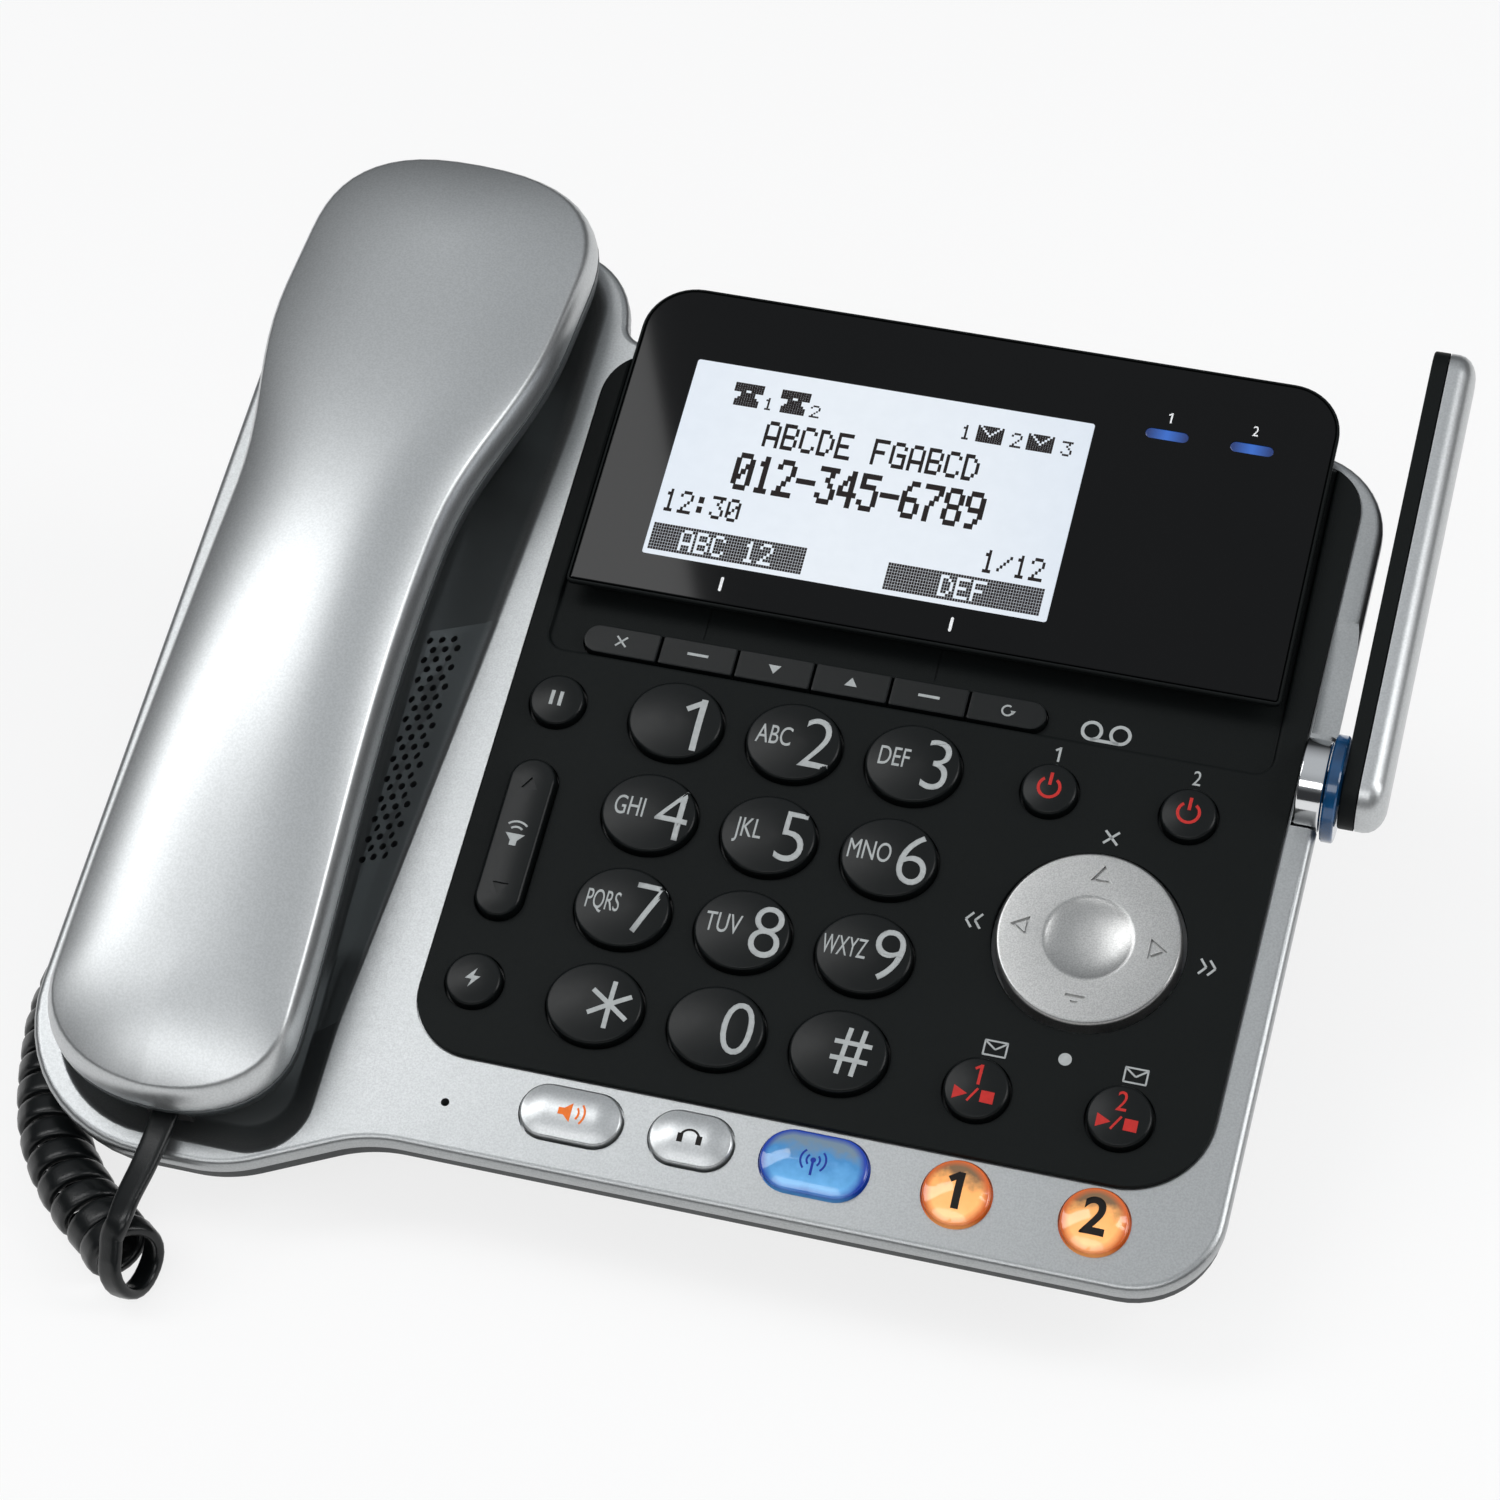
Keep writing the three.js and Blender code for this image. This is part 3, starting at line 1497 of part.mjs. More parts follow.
const coilLength = coilPitch * coilTurns;

function coilFrame(turn) {
  const share = (turn * coilPitch) / coilRoute.getLength();
  const centre = coilRoute.getPointAt(share);
  const along = coilRoute.getTangentAt(share);
  const left = up.clone().cross(along).normalize();
  const rise = along.clone().cross(left);
  const angle = 2 * Math.PI * (coilStartShare - turn);
  const out = left.clone().multiplyScalar(Math.cos(angle)).addScaledVector(rise, Math.sin(angle));
  const travel = left.clone().multiplyScalar(Math.sin(angle)).addScaledVector(rise, -Math.cos(angle));
  const radius = coilRadius + looseCurlRise * (1 - Math.min(1, turn / looseCurlTurns));
  return { place: centre.addScaledVector(out, radius), across: along, out, travel };
}

function coilFrames() {
  const frames = [];
  for (let i = 0; i <= coilTurns * coilSteps; i += 1) {
    frames.push(coilFrame(i / coilSteps));
  }
  const first = frames[0];
  const last = frames.at(-1);
  const straight = (frame, length) => {
    const place = frame.place.clone().addScaledVector(frame.travel, length);
    return { ...frame, place };
  };
  return [straight(first, -cordThickness), ...frames, straight(last, cordThickness)];
}

const coil = coilFrames();

// Least gap between the coil's neighbouring turns, measured on the corner points of the tube
function leastCoilGap() {
  let least = Infinity;
  for (let i = 1; i + coilSteps < coil.length - 1; i += 1) {
    const here = coil[i];
    const next = coil[i + coilSteps];
    const near = here.place.clone().addScaledVector(here.across, halfCord);
    const far = next.place.clone().addScaledVector(next.across, -halfCord);
    [-halfThick, halfThick / 2].forEach((t) => {
      const a = near.clone().addScaledVector(here.out, t);
      const b = far.clone().addScaledVector(next.out, t);
      least = Math.min(least, a.distanceTo(b));
    });
  }
  return least;
}

function crossSectionFrame(place, along, across) {
  const out = across.clone().cross(along).normalize();
  return { place, across: along.clone().cross(out).normalize(), out };
}

// A flat lead from one face to another, square to both, turning its flat side on the way
function lead(name, points, start, end) {
  const curve = new THREE.CatmullRomCurve3(points, false, 'centripetal');
  const frames = [];
  for (let i = 0; i <= leadSteps; i += 1) {
    const share = i / leadSteps;
    const blend = THREE.MathUtils.smoothstep(share, 0, 1);
    const across = start.across.clone().lerp(end.across, blend).normalize();
    let along = curve.getTangentAt(share);
    if (i === 0) {
      along = start.along;
    }
    if (i === leadSteps) {
      along = end.along;
    }
    frames.push(crossSectionFrame(curve.getPointAt(share), along, across));
  }
  return { mesh: piece(name, ribbonTube(frames, flatSection), rubber), length: curve.getLength() };
}

function handsetLead() {
  const yaw = new THREE.Matrix4().makeRotationZ(THREE.MathUtils.degToRad(handsetYaw));
  const place = (y, z) => {
    const p = new THREE.Vector3(plugX, y, z).applyMatrix4(yaw);
    return onTable(p.x + handsetX, p.y + handsetY, p.z);
  };
  const mouth = handsetEnd - cordThickness;
  const end = coil[0];
  const meet = end.place.clone().addScaledVector(end.travel, -seatGap);
  const straight = meet.clone().addScaledVector(end.travel, -cordThickness);
  const points = [
    place(plugFront - seatGap, plugZ),
    place(mouth, plugZ),
    ...leadPlaces.map(([x, y, z]) => new THREE.Vector3(x, y, z)),
    straight,
    straight.clone().lerp(meet, 1 / 2),
    meet,
  ];
  const start = { across: new THREE.Vector3(1, 0, 0), along: points[1].clone().sub(points[0]).normalize() };
  const across = end.across.clone().multiplyScalar(Math.sign(end.across.x));
  return lead('cord_lead_handset', points, start, { across, along: end.travel });
}

function baseLead() {
  const bottom = -bellyDepth + trayWall - plugSocketDepth - seatGap;
  const end = coil.at(-1);
  const meet = end.place.clone().addScaledVector(end.travel, seatGap);
  const straight = meet.clone().addScaledVector(end.travel, cordThickness);
  const points = [
    onTable(basePlugX, basePlugY, bottom),
    onTable(basePlugX, basePlugY, bottom - cordWidth),
    straight,
    straight.clone().lerp(meet, 1 / 2),
    meet,
  ];
  const start = { across: new THREE.Vector3(1, 0, 0), along: points[1].clone().sub(points[0]).normalize() };
  const across = end.across.clone().multiplyScalar(Math.sign(end.across.x));
  return lead('cord_lead_base', points, start, { across, along: end.travel.clone().negate() });
}

// Assembly: the tipped plate frame, the table frame, and the origin under the middle of the object
const telephone = new THREE.Group();
telephone.name = 'desk_telephone';
const plate = new THREE.Group();
plate.applyMatrix4(plateToTable);
plate.add(
  topShell(),
  bottomShell(),
  fascia(),
  keyMat(),
  circuitBoard(),
  loudspeaker(),
  hookPlunger(),
  lineJackBlock(),
);
plate.add(...digitKeys.map(pushKey), ...sideKeys.map(pushKey), ...frontKeys.map(pushKey));
for (let i = 0; i < softKeyCount; i += 1) {
  plate.add(softKey(i));
}
plate.add(volumeRocker(), navigationDisc(), navigationPivot());
plate.add(displayFrame(), displayLensPiece(), screenModule());
plate.add(aerialHub(), aerialRing(), aerialInner(), aerialOuter(), handset(), basePlug());
telephone.add(plate, deskStand(), ...feet());

telephone.updateMatrixWorld(true);
const bounds = new THREE.Box3();
telephone.traverse((node) => {
  if (node.isMesh && !node.name.startsWith('cord_')) {
    bounds.expandByObject(node, true);
  }
});
const middle = bounds.getCenter(new THREE.Vector3());

const frontLead = handsetLead();
const rearLead = baseLead();
telephone.add(piece('cord_coil', ribbonTube(coil, curlSection), rubber), frontLead.mesh, rearLead.mesh);
telephone.position.set(-middle.x, -middle.y, 0);
telephone.updateMatrixWorld(true);

const turnLength = Math.hypot(2 * Math.PI * coilRadius, coilPitch);
const cordLength = turnLength * coilTurns + frontLead.length + rearLead.length + 2 * cordWidth;
console.log(`coil route ${coilRoute.getLength().toFixed(0)} mm`);
console.log(`least gap between turns of the coil ${leastCoilGap().toFixed(2)} mm`);
const coilText = `coil ${coilLength.toFixed(0)} mm along its middle line`;
console.log(`cord length ${cordLength.toFixed(0)} mm, ${coilText}`);
console.log(`origin shift ${(-middle.x).toFixed(3)} ${(-middle.y).toFixed(3)} mm`);

export default telephone;
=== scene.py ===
import bisect
import math

import bmesh
import bpy
from mathutils import Matrix, Vector


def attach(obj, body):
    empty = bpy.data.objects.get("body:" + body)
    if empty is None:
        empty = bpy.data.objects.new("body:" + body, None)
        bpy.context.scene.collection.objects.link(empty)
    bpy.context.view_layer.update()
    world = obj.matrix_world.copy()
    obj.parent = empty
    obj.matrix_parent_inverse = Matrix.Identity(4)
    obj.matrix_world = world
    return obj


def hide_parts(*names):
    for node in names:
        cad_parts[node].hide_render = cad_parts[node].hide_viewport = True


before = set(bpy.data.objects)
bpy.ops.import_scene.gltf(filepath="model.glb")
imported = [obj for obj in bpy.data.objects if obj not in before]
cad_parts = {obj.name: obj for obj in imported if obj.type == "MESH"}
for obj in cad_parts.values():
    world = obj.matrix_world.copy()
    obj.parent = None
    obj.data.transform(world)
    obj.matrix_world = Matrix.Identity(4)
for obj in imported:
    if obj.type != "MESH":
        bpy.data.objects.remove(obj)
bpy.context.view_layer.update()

# The table top and its light. The telephone stands on a plain white table under three soft boxes,
# a long one overhead on the left, a wide one in front and a narrow one on the right, in a grey
# room that darkens towards the floor. The camera looks down from the front right with a long lens.
bpy.ops.object.select_all(action="DESELECT")
bpy.ops.object.camera_add(
    location=(0.16893, -0.61766, 0.62955),
    rotation=(math.radians(48.25), 0, math.radians(15.36)),
)
camera = bpy.context.object
camera.data.lens = 101.8
camera.data.sensor_width = 36
bpy.context.scene.camera = camera
bpy.context.scene.view_settings.view_transform = "Standard"


class Value:
    """A socket in a finish, on which sums can be written."""

    def __init__(self, finish, socket):
        self.finish = finish
        self.socket = socket

    def __add__(self, other):
        return self.finish.maths("ADD", self, other)

    def __sub__(self, other):
        return self.finish.maths("SUBTRACT", self, other)

    def __rsub__(self, other):
        return self.finish.maths("SUBTRACT", other, self)

    def __mul__(self, other):
        return self.finish.maths("MULTIPLY", self, other)

    __radd__ = __add__
    __rmul__ = __mul__


class Finish:
    """One finish of the telephone, built on the standard surface shader."""

    def __init__(self, name):
        self.material = bpy.data.materials.new(name)
        self.material.use_nodes = True
        self.tree = self.material.node_tree
        self.surface = self.tree.nodes["Principled BSDF"]
        self.end = self.tree.nodes["Material Output"]

    def put(self, socket, value):
        if isinstance(value, Value):
            self.tree.links.new(value.socket, socket)
        elif isinstance(value, tuple) and len(value) == 3 and socket.type == "RGBA":
            socket.default_value = (*value, 1)
        else:
            socket.default_value = value

    def node(self, kind, settings, inputs, output=0):
        made = self.tree.nodes.new(kind)
        for name, value in settings.items():
            if name == "stops":
                ramp = made.color_ramp.elements
                while len(ramp) < len(value):
                    ramp.new(0.5)
                for stop, (place, colour) in zip(ramp, value):
                    stop.position = place
                    stop.color = (*colour, 1)
            else:
                setattr(made, name, value)
        for name, value in inputs.items():
            self.put(made.inputs[name], value)
        return Value(self, made.outputs[output])

    def maths(self, operation, *values):
        return self.node("ShaderNodeMath", {"operation": operation}, dict(enumerate(values)))

    def where(self, axis=None):
        """The place on the object, or one coordinate of it."""
        place = self.node("ShaderNodeTexCoord", {}, {}, "Object")
        return self.node("ShaderNodeSeparateXYZ", {}, {"Vector": place}, axis) if axis else place

    def grain(self, scale, detail=2):
        inputs = {"Vector": self.where(), "Scale": scale, "Detail": detail}
        return self.node("ShaderNodeTexNoise", {}, inputs)

    def ramp(self, factor, stops):
        return self.node("ShaderNodeValToRGB", {"stops": stops}, {"Fac": factor})

    def mottled(self, scale, low, high, reach=0.2):
        """A tone that wanders between two colours with a grain."""
        return self.ramp(self.grain(scale), [(0.5 - reach, low), (0.5 + reach, high)])

    def bump(self, height, strength, distance):
        inputs = {"Height": height, "Strength": strength, "Distance": distance}
        return self.node("ShaderNodeBump", {}, inputs)

    def relief(self, scale, strength, distance, detail=1):
        return self.bump(self.grain(scale, detail), strength, distance)

    def blend(self, factor, first, second):
        inputs = {0: factor, 6: first, 7: second}
        return self.node("ShaderNodeMix", {"data_type": "RGBA"}, inputs, 2)

    def flaked(self, factor, low, high):
        """Two colours that meet where a grain is steep, as the flakes of a metal paint do."""
        return self.blend(self.ramp(factor, [(0.35, (0, 0, 0)), (0.65, (1, 1, 1))]), low, high)

    def look(self, **values):
        for name, value in values.items():
            self.put(self.surface.inputs[name.replace("_", " ")], value)
        return self.material


table = Finish("white_table")
own_white = 0.80
glow = table.node("ShaderNodeEmission", {}, {"Color": (1.0, 1.0, 1.0), "Strength": 1.0})
seen = table.node("ShaderNodeLightPath", {}, {}, "Is Camera Ray")
for ray in ("Is Glossy Ray", "Is Transmission Ray"):
    seen = table.maths("MAXIMUM", seen, table.node("ShaderNodeLightPath", {}, {}, ray))
plain = Value(table, table.surface.outputs[0])
mixed = table.node("ShaderNodeMixShader", {}, {0: seen * own_white, 1: plain, 2: glow})
table.put(table.end.inputs["Surface"], mixed)
table.look(Base_Color=(0.92, 0.92, 0.92), Roughness=0.9)
bpy.ops.mesh.primitive_plane_add(size=12, location=(0, 0, -0.0004))
floor = bpy.context.object
floor.name = "table_top"
floor.data.materials.append(table.material)

world = bpy.data.worlds.new("studio")
bpy.context.scene.world = world
world.use_nodes = True
nodes, links = world.node_tree.nodes, world.node_tree.links
sky = nodes["Background"]
sky.inputs["Strength"].default_value = 1.0
facing, height, shade = (nodes.new("ShaderNode" + kind) for kind in ("TexCoord", "SeparateXYZ", "ValToRGB"))
links.new(facing.outputs["Generated"], height.inputs[0])
links.new(height.outputs["Z"], shade.inputs[0])
links.new(shade.outputs[0], sky.inputs["Color"])
room_tones = ((0.38, (0.04, 0.042, 0.045, 1)), (0.95, (0.55, 0.57, 0.59, 1)))
for stop, (place, tone) in zip(shade.color_ramp.elements, room_tones):
    stop.position = place
    stop.color = tone


def soft_box(name, place, target, width, height, power, turn=0):
    bpy.ops.object.light_add(type="AREA", location=place)
    lamp = bpy.context.object
    lamp.name = name
    lamp.data.shape = "RECTANGLE"
    lamp.data.size = width
    lamp.data.size_y = height
    lamp.data.energy = power
    aim = Vector(target) - Vector(place)
    lamp.rotation_euler = aim.to_track_quat("-Z", "Y").to_euler()
    lamp.rotation_euler.rotate_axis("Z", math.radians(turn))


soft_box("box_overhead_left", (-1.36, -0.25, 2.2), (-0.12, 0.0, 0.05), 0.8, 2.0, 20, 10)
soft_box("box_front", (-0.1, -1.15, 1.1), (0, 0, 0.05), 1.6, 0.4, 5.5)
soft_box("box_right", (1.2, 0.0, 0.95), (0, 0.05, 0.05), 0.5, 1.2, 9)

# Curly cord: a flat black rubber cord. A lead leaves the mouth end of the handset, turns into a
# tight coil lying round the left side and behind the base, and a second lead dives under the base.
cord_width = 0.0054
cord_thickness = 0.0024
coil_radius = 0.0059
coil_pitch = 0.0063
coil_turns = 42.625
coil_start = 0.09
loose_rise = 0.001
loose_turns = 1.5
curl_steps = 24
lead_steps = 60
near_tail = 0.0025
far_tail = 0.0051
origin = Vector((0.009055, -0.030757, 0))
plate = Matrix.Translation(origin + Vector((0, 0, 0.05))) @ Matrix.Rotation(math.radians(22.75), 4, "X")
coil_places = [
    (-99.65, -90.55, 8.8), (-102.3, -89.5, 7.8), (-107.1, -85.1, 7.4), (-114.6, -79.2, 7.4),
    (-121.9, -71.8, 7.4), (-127.8, -63.6, 7.4), (-131.8, -55.5, 7.4), (-135.6, -45, 7.4),
    (-139.3, -31, 7.4), (-140.2, -15, 7.4), (-138.5, 2, 7.4), (-133.5, 22, 7.4),
    (-125, 42, 7.4), (-113, 60, 7.4), (-99, 77, 7.4), (-83, 91, 7.4),
    (-65, 102, 7.4), (-45, 110, 7.4), (-25, 114, 7.4),
]


def on_table(x, y, z):
    return Vector((x, y, z)) / 1000 + origin


def on_plate(x, y, z):
    return plate @ (Vector((x, y, z)) / 1000)


def smooth_route(places):
    """Points a fraction of a millimetre apart on the curve through the places, with their lengths."""
    ends = [places[0] * 2 - places[1], *places, places[-1] * 2 - places[-2]]
    line = []
    for p0, p1, p2, p3 in zip(ends, ends[1:], ends[2:], ends[3:]):
        d0, d1, d2 = ((b - a).length ** 0.5 for a, b in ((p0, p1), (p1, p2), (p2, p3)))
        t1 = ((p1 - p0) / d0 - (p2 - p0) / (d0 + d1) + (p2 - p1) / d1) * d1
        t2 = ((p2 - p1) / d1 - (p3 - p1) / (d1 + d2) + (p3 - p2) / d2) * d1
        for step in range(40):
            t = step / 40
            line.append(
                p1 * (2 * t**3 - 3 * t**2 + 1)
                + t1 * (t**3 - 2 * t**2 + t)
                + p2 * (3 * t**2 - 2 * t**3)
                + t2 * (t**3 - t**2)
            )
    line.append(places[-1])
    lengths = [0]
    for a, b in zip(line, line[1:]):
        lengths.append(lengths[-1] + (b - a).length)
    return line, lengths


def at(route, length):
    """Place and direction at a length along a route."""
    line, lengths = route
    i = min(max(bisect.bisect_right(lengths, length) - 1, 0), len(line) - 2)
    share = (length - lengths[i]) / max(lengths[i + 1] - lengths[i], 1e-9)
    ahead = line[min(i + 2, len(line) - 1)] - line[max(i - 1, 0)]
    return line[i].lerp(line[i + 1], share), ahead.normalized()


coil_route = smooth_route([on_table(*p) for p in coil_places])
up = Vector((0, 0, 1))


def curl(turn):
    centre, along = at(coil_route, turn * coil_pitch)
    left = up.cross(along).normalized()
    rise = along.cross(left)
    angle = 2 * math.pi * (coil_start - turn)
    out = left * math.cos(angle) + rise * math.sin(angle)
    travel = left * math.sin(angle) - rise * math.cos(angle)
    radius = coil_radius + loose_rise * (1 - min(1, turn / loose_turns))
    return centre + out * radius, along, out, travel


def lead_frames(places, first_across, last_across, count):
    route = smooth_route(places)
    frames = []
    for i in range(count):
        share = i / count
        place, along = at(route, route[1][-1] * share)
        ease = share * share * (3 - 2 * share)
        across = first_across.lerp(last_across, ease).normalized()
        out = across.cross(along).normalized()
        frames.append((place, along.cross(out).normalized(), out))
    return frames


curls = [curl(i / curl_steps) for i in range(int(coil_turns * curl_steps) + 1)]
handset_place = (
    plate
    @ Matrix.Translation((-0.0997, 0.037, 0))
    @ Matrix.Rotation(math.radians(-2.1), 4, "Z")
)
start_place, start_across, _, start_travel = curls[0]
mouth_exit = handset_place @ Vector((0.0024, -0.1080, 0.0032))
front_places = [
    mouth_exit,
    handset_place @ Vector((0.0024, -0.1114, 0.0032)),
    on_table(-101.8, -78, 21.9),
    on_table(-102.4, -86, 20.2),
    on_table(-102.4, -90.8, 18.9),
    start_place - start_travel * far_tail,
    start_place - start_travel * near_tail,
    start_place,
]
sideways = plate.to_3x3() @ Vector((1, 0, 0))
front_side = sideways * (1 if start_across.x > 0 else -1)
end_place, end_across, _, end_travel = curls[-1]
base_socket = on_plate(-62, 84, -31.1)
rear_places = [
    end_place,
    end_place + end_travel * near_tail,
    end_place + end_travel * far_tail,
    on_plate(-62, 84, -35.8),
    base_socket,
]
rear_side = sideways * (1 if end_across.x > 0 else -1)
ribbon = lead_frames(front_places, front_side, start_across, lead_steps)
ribbon += [wound[:3] for wound in curls]
ribbon += lead_frames(rear_places, end_across, rear_side, lead_steps)[1:]
ribbon.append((base_socket, *ribbon[-1][1:]))
half_width = cord_width / 2
half_thick = cord_thickness / 2
section_points = 16
section = []
for i in range(section_points):
    angle = 2 * math.pi * (i + 0.5) / section_points
    c, s = math.cos(angle), math.sin(angle)
    wide = math.copysign(abs(c) ** 0.5, c) * half_width
    thick = math.copysign(abs(s) ** 0.72, s) * half_thick
    section.append((wide, thick))
cord_mesh = bpy.data.meshes.new("curly_cord")
points = [place + across * wide + out * thick for place, across, out in ribbon for wide, thick in section]
rings = [range(r * section_points, (r + 1) * section_points) for r in range(len(ribbon))]
faces = []
for here, ahead in zip(rings, rings[1:]):
    for i in range(section_points):
        j = (i + 1) % section_points
        faces.append((here[i], here[j], ahead[j], ahead[i]))
faces += [tuple(rings[0]), tuple(reversed(rings[-1]))]
cord_mesh.from_pydata(points, [], faces)
curly_cord = bpy.data.objects.new("curly_cord", cord_mesh)
bpy.context.collection.objects.link(curly_cord)


def only(piece):
    bpy.ops.object.select_all(action="DESELECT")
    bpy.context.view_layer.objects.active = piece
    piece.select_set(True)


def turned_out():
    """Turns every face of the piece that is being edited to its outer side, and ends the editing."""
    bpy.ops.mesh.select_all(action="SELECT")
    bpy.ops.mesh.normals_make_consistent(inside=False)
    bpy.ops.object.mode_set(mode="OBJECT")


def outward(piece):
    only(piece)
    bpy.ops.object.mode_set(mode="EDIT")
    turned_out()
    return piece


def applied(piece, kind, **settings):
    """Gives a piece a modifier with these settings, and applies it."""
    only(piece)
    step = piece.modifiers.new("step", kind)
    for name, value in settings.items():
        setattr(step, name, value)
    bpy.ops.object.modifier_apply(modifier=step.name)


def painted(piece, finish):
    piece.data.materials.clear()
    piece.data.materials.append(finish)


def fitted(piece, body, finish, nodes=(), place=plate, angle=32):
    """Sets a piece in its place on the set, gives it its finish and ties it to what carries it."""
    only(piece)
    piece.matrix_world = place @ piece.matrix_world
    bpy.ops.object.transform_apply(location=True, rotation=True, scale=True)
    bpy.ops.object.shade_smooth_by_angle(angle=math.radians(angle))
    applied(piece, "WEIGHTED_NORMAL", keep_sharp=True)
    painted(piece, finish)
    if nodes:
        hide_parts(*nodes)
    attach(piece, body)


rubber = Finish("black_cord_rubber")
rubber_look = rubber.look(
    Base_Color=rubber.mottled(90, (0.0040, 0.0050, 0.0053), (0.0070, 0.0082, 0.0086)),
    Roughness=rubber.grain(160) * 0.12 + 0.24,
    Specular_IOR_Level=0.36,
    Normal=rubber.relief(2600, 0.12, 0.0002, 2),
)
outward(curly_cord)
fitted(
    curly_cord, "base", rubber_look,
    ("cord_coil", "cord_lead_handset", "cord_lead_base"), Matrix.Identity(4), 50,
)
centre_line = [place for place, across, out in ribbon]
cord_length = sum((b - a).length for a, b in zip(centre_line, centre_line[1:]))

# Top shell: the silver upper half of the base, moulded in one piece. It has a rounded rim, a deep
# bay down the left for the handset with a loudspeaker grille in its wall, a sunk bed for the black
# fascia, and a notch at the right where the aerial hinges.
base_outline = [
    (-136.5, -79.2, 31), (-88, -79.2, 30), (-62, -66.8, 30), (104.2, -66.8, 18),
    (106.2, 118.5, 18), (-59, 118.5, 4), (-59, 138.3, 18), (-133.8, 138.3, 38),
]
bay_edge = [
    (-129, -74.4, 24), (-74.6, -74.4, 12), (-74.6, -46, 60), (-68.6, 48, 60),
    (-66, 96, 60), (-66, 133.5, 12), (-125.5, 133.5, 24), (-129, 48, 60),
]
bay_floor = [
    (-122, -67, 24), (-81, -67, 9), (-81, -46, 60), (-84.5, 48, 60),
    (-83, 96, 60), (-83, 123, 9), (-115, 123, 9), (-122, 48, 60),
]
fascia_outline = [(-60.3, -46.8, 13), (98.2, -46.8, 17), (101, 115.5, 11), (-60.3, 115.5, 11)]
bay_depth = 8.6


def rounded(corners, steps=12):
    """Outline with its corners rounded, as points in millimetres."""
    points = []
    for i, (x, y, radius) in enumerate(corners):
        here = Vector((x, y))
        back = (Vector(corners[i - 1][:2]) - here).normalized()
        ahead = (Vector(corners[(i + 1) % len(corners)][:2]) - here).normalized()
        half = back.angle(ahead) / 2
        reach = radius / math.tan(half)
        centre = here + (back + ahead).normalized() * (radius / math.sin(half))
        first = here + back * reach - centre
        last = here + ahead * reach - centre
        sweep = math.atan2(first.x * last.y - first.y * last.x, first.dot(last))
        turn = math.atan2(first.y, first.x)
        for k in range(steps + 1):
            angle = turn + sweep * k / steps
            points.append((centre.x + radius * math.cos(angle), centre.y + radius * math.sin(angle)))
    return points


def inset(corners, distance):
    """Corners of the outline drawn in by a distance."""
    moved = []
    for i, (x, y, radius) in enumerate(corners):
        here = Vector((x, y))
        incoming = (here - Vector(corners[i - 1][:2])).normalized()
        outgoing = (Vector(corners[(i + 1) % len(corners)][:2]) - here).normalized()
        turn = incoming.x * outgoing.y - incoming.y * outgoing.x
        shift = (outgoing - incoming) * (distance / turn)
        moved.append((x + shift.x, y + shift.y, max(radius - math.copysign(distance, distance * turn), 0.3)))
    return moved


def oblong(left, front, right, back, radius):
    return [(left, front, radius), (right, front, radius), (right, back, radius), (left, back, radius)]


def level(points, height):
    return [(x, y, height) for x, y in points]


def drawn_in(corners, steps, fineness=12):
    """Rings of an outline, each drawn in by a distance and set at a height."""
    return [level(rounded(inset(corners, distance), fineness), height) for distance, height in steps]


def between(first, second, share, height):
    return [(a + (c - a) * share, b + (d - b) * share, height) for (a, b), (c, d) in zip(first, second)]


def drawn_out(name, rings):
    """A closed form: an outline drawn as a face, then extruded and set to each next ring in turn."""
    bpy.ops.object.select_all(action="DESELECT")
    bpy.ops.mesh.primitive_circle_add(vertices=len(rings[0]), fill_type="NGON")
    piece = bpy.context.object
    piece.name = name
    mesh = piece.data
    for vertex, place in zip(mesh.vertices, rings[0]):
        vertex.co = Vector(place) / 1000
    order = [tuple(v.co) for v in mesh.vertices]
    bpy.ops.object.mode_set(mode="EDIT")
    bpy.ops.mesh.select_all(action="SELECT")
    for ring in rings[1:]:
        bpy.ops.mesh.extrude_region_move()
        form = bmesh.from_edit_mesh(mesh)
        found = {tuple(v.co): v for v in form.verts if v.select}
        places = [Vector(p) / 1000 for p in ring]
        for old, new in zip(order, places):
            found[old].co = new
        order = [tuple(found[old].co) for old in order]
        bmesh.update_edit_mesh(mesh)
    turned_out()
    return piece


def worked(piece, tools, operation):
    """Joins other forms to a piece, or cuts them out of it."""
    for tool in tools:
        applied(piece, "BOOLEAN", operation=operation, solver="EXACT", object=tool)
        bpy.data.objects.remove(tool)
    return piece


def oval(x, y, half_width, half_height, count=48):
    turns = [2 * math.pi * i / count for i in range(count)]
    return [(x + half_width * math.cos(a), y + half_height * math.sin(a)) for a in turns]


def pill(x, y, width, height, steps=12):
    radius = min(width, height) / 2 * 0.995
    return rounded(oblong(x - width / 2, y - height / 2, x + width / 2, y + height / 2, radius), steps)


def upright(name, outline, low, high):
    return drawn_out(name, [level(outline, low), level(outline, high)])


def across(name, outline, left, right):
    """A form with its outline in the upright plane, running along the width of the set."""
    return drawn_out(name, [[(x, y, z) for y, z in outline] for x in (left, right)])


def together(name, pieces):
    bpy.ops.object.select_all(action="DESELECT")
    for piece in pieces:
        piece.select_set(True)
    bpy.context.view_layer.objects.active = pieces[0]
    bpy.ops.object.join()
    bpy.context.object.name = name
    return bpy.context.object


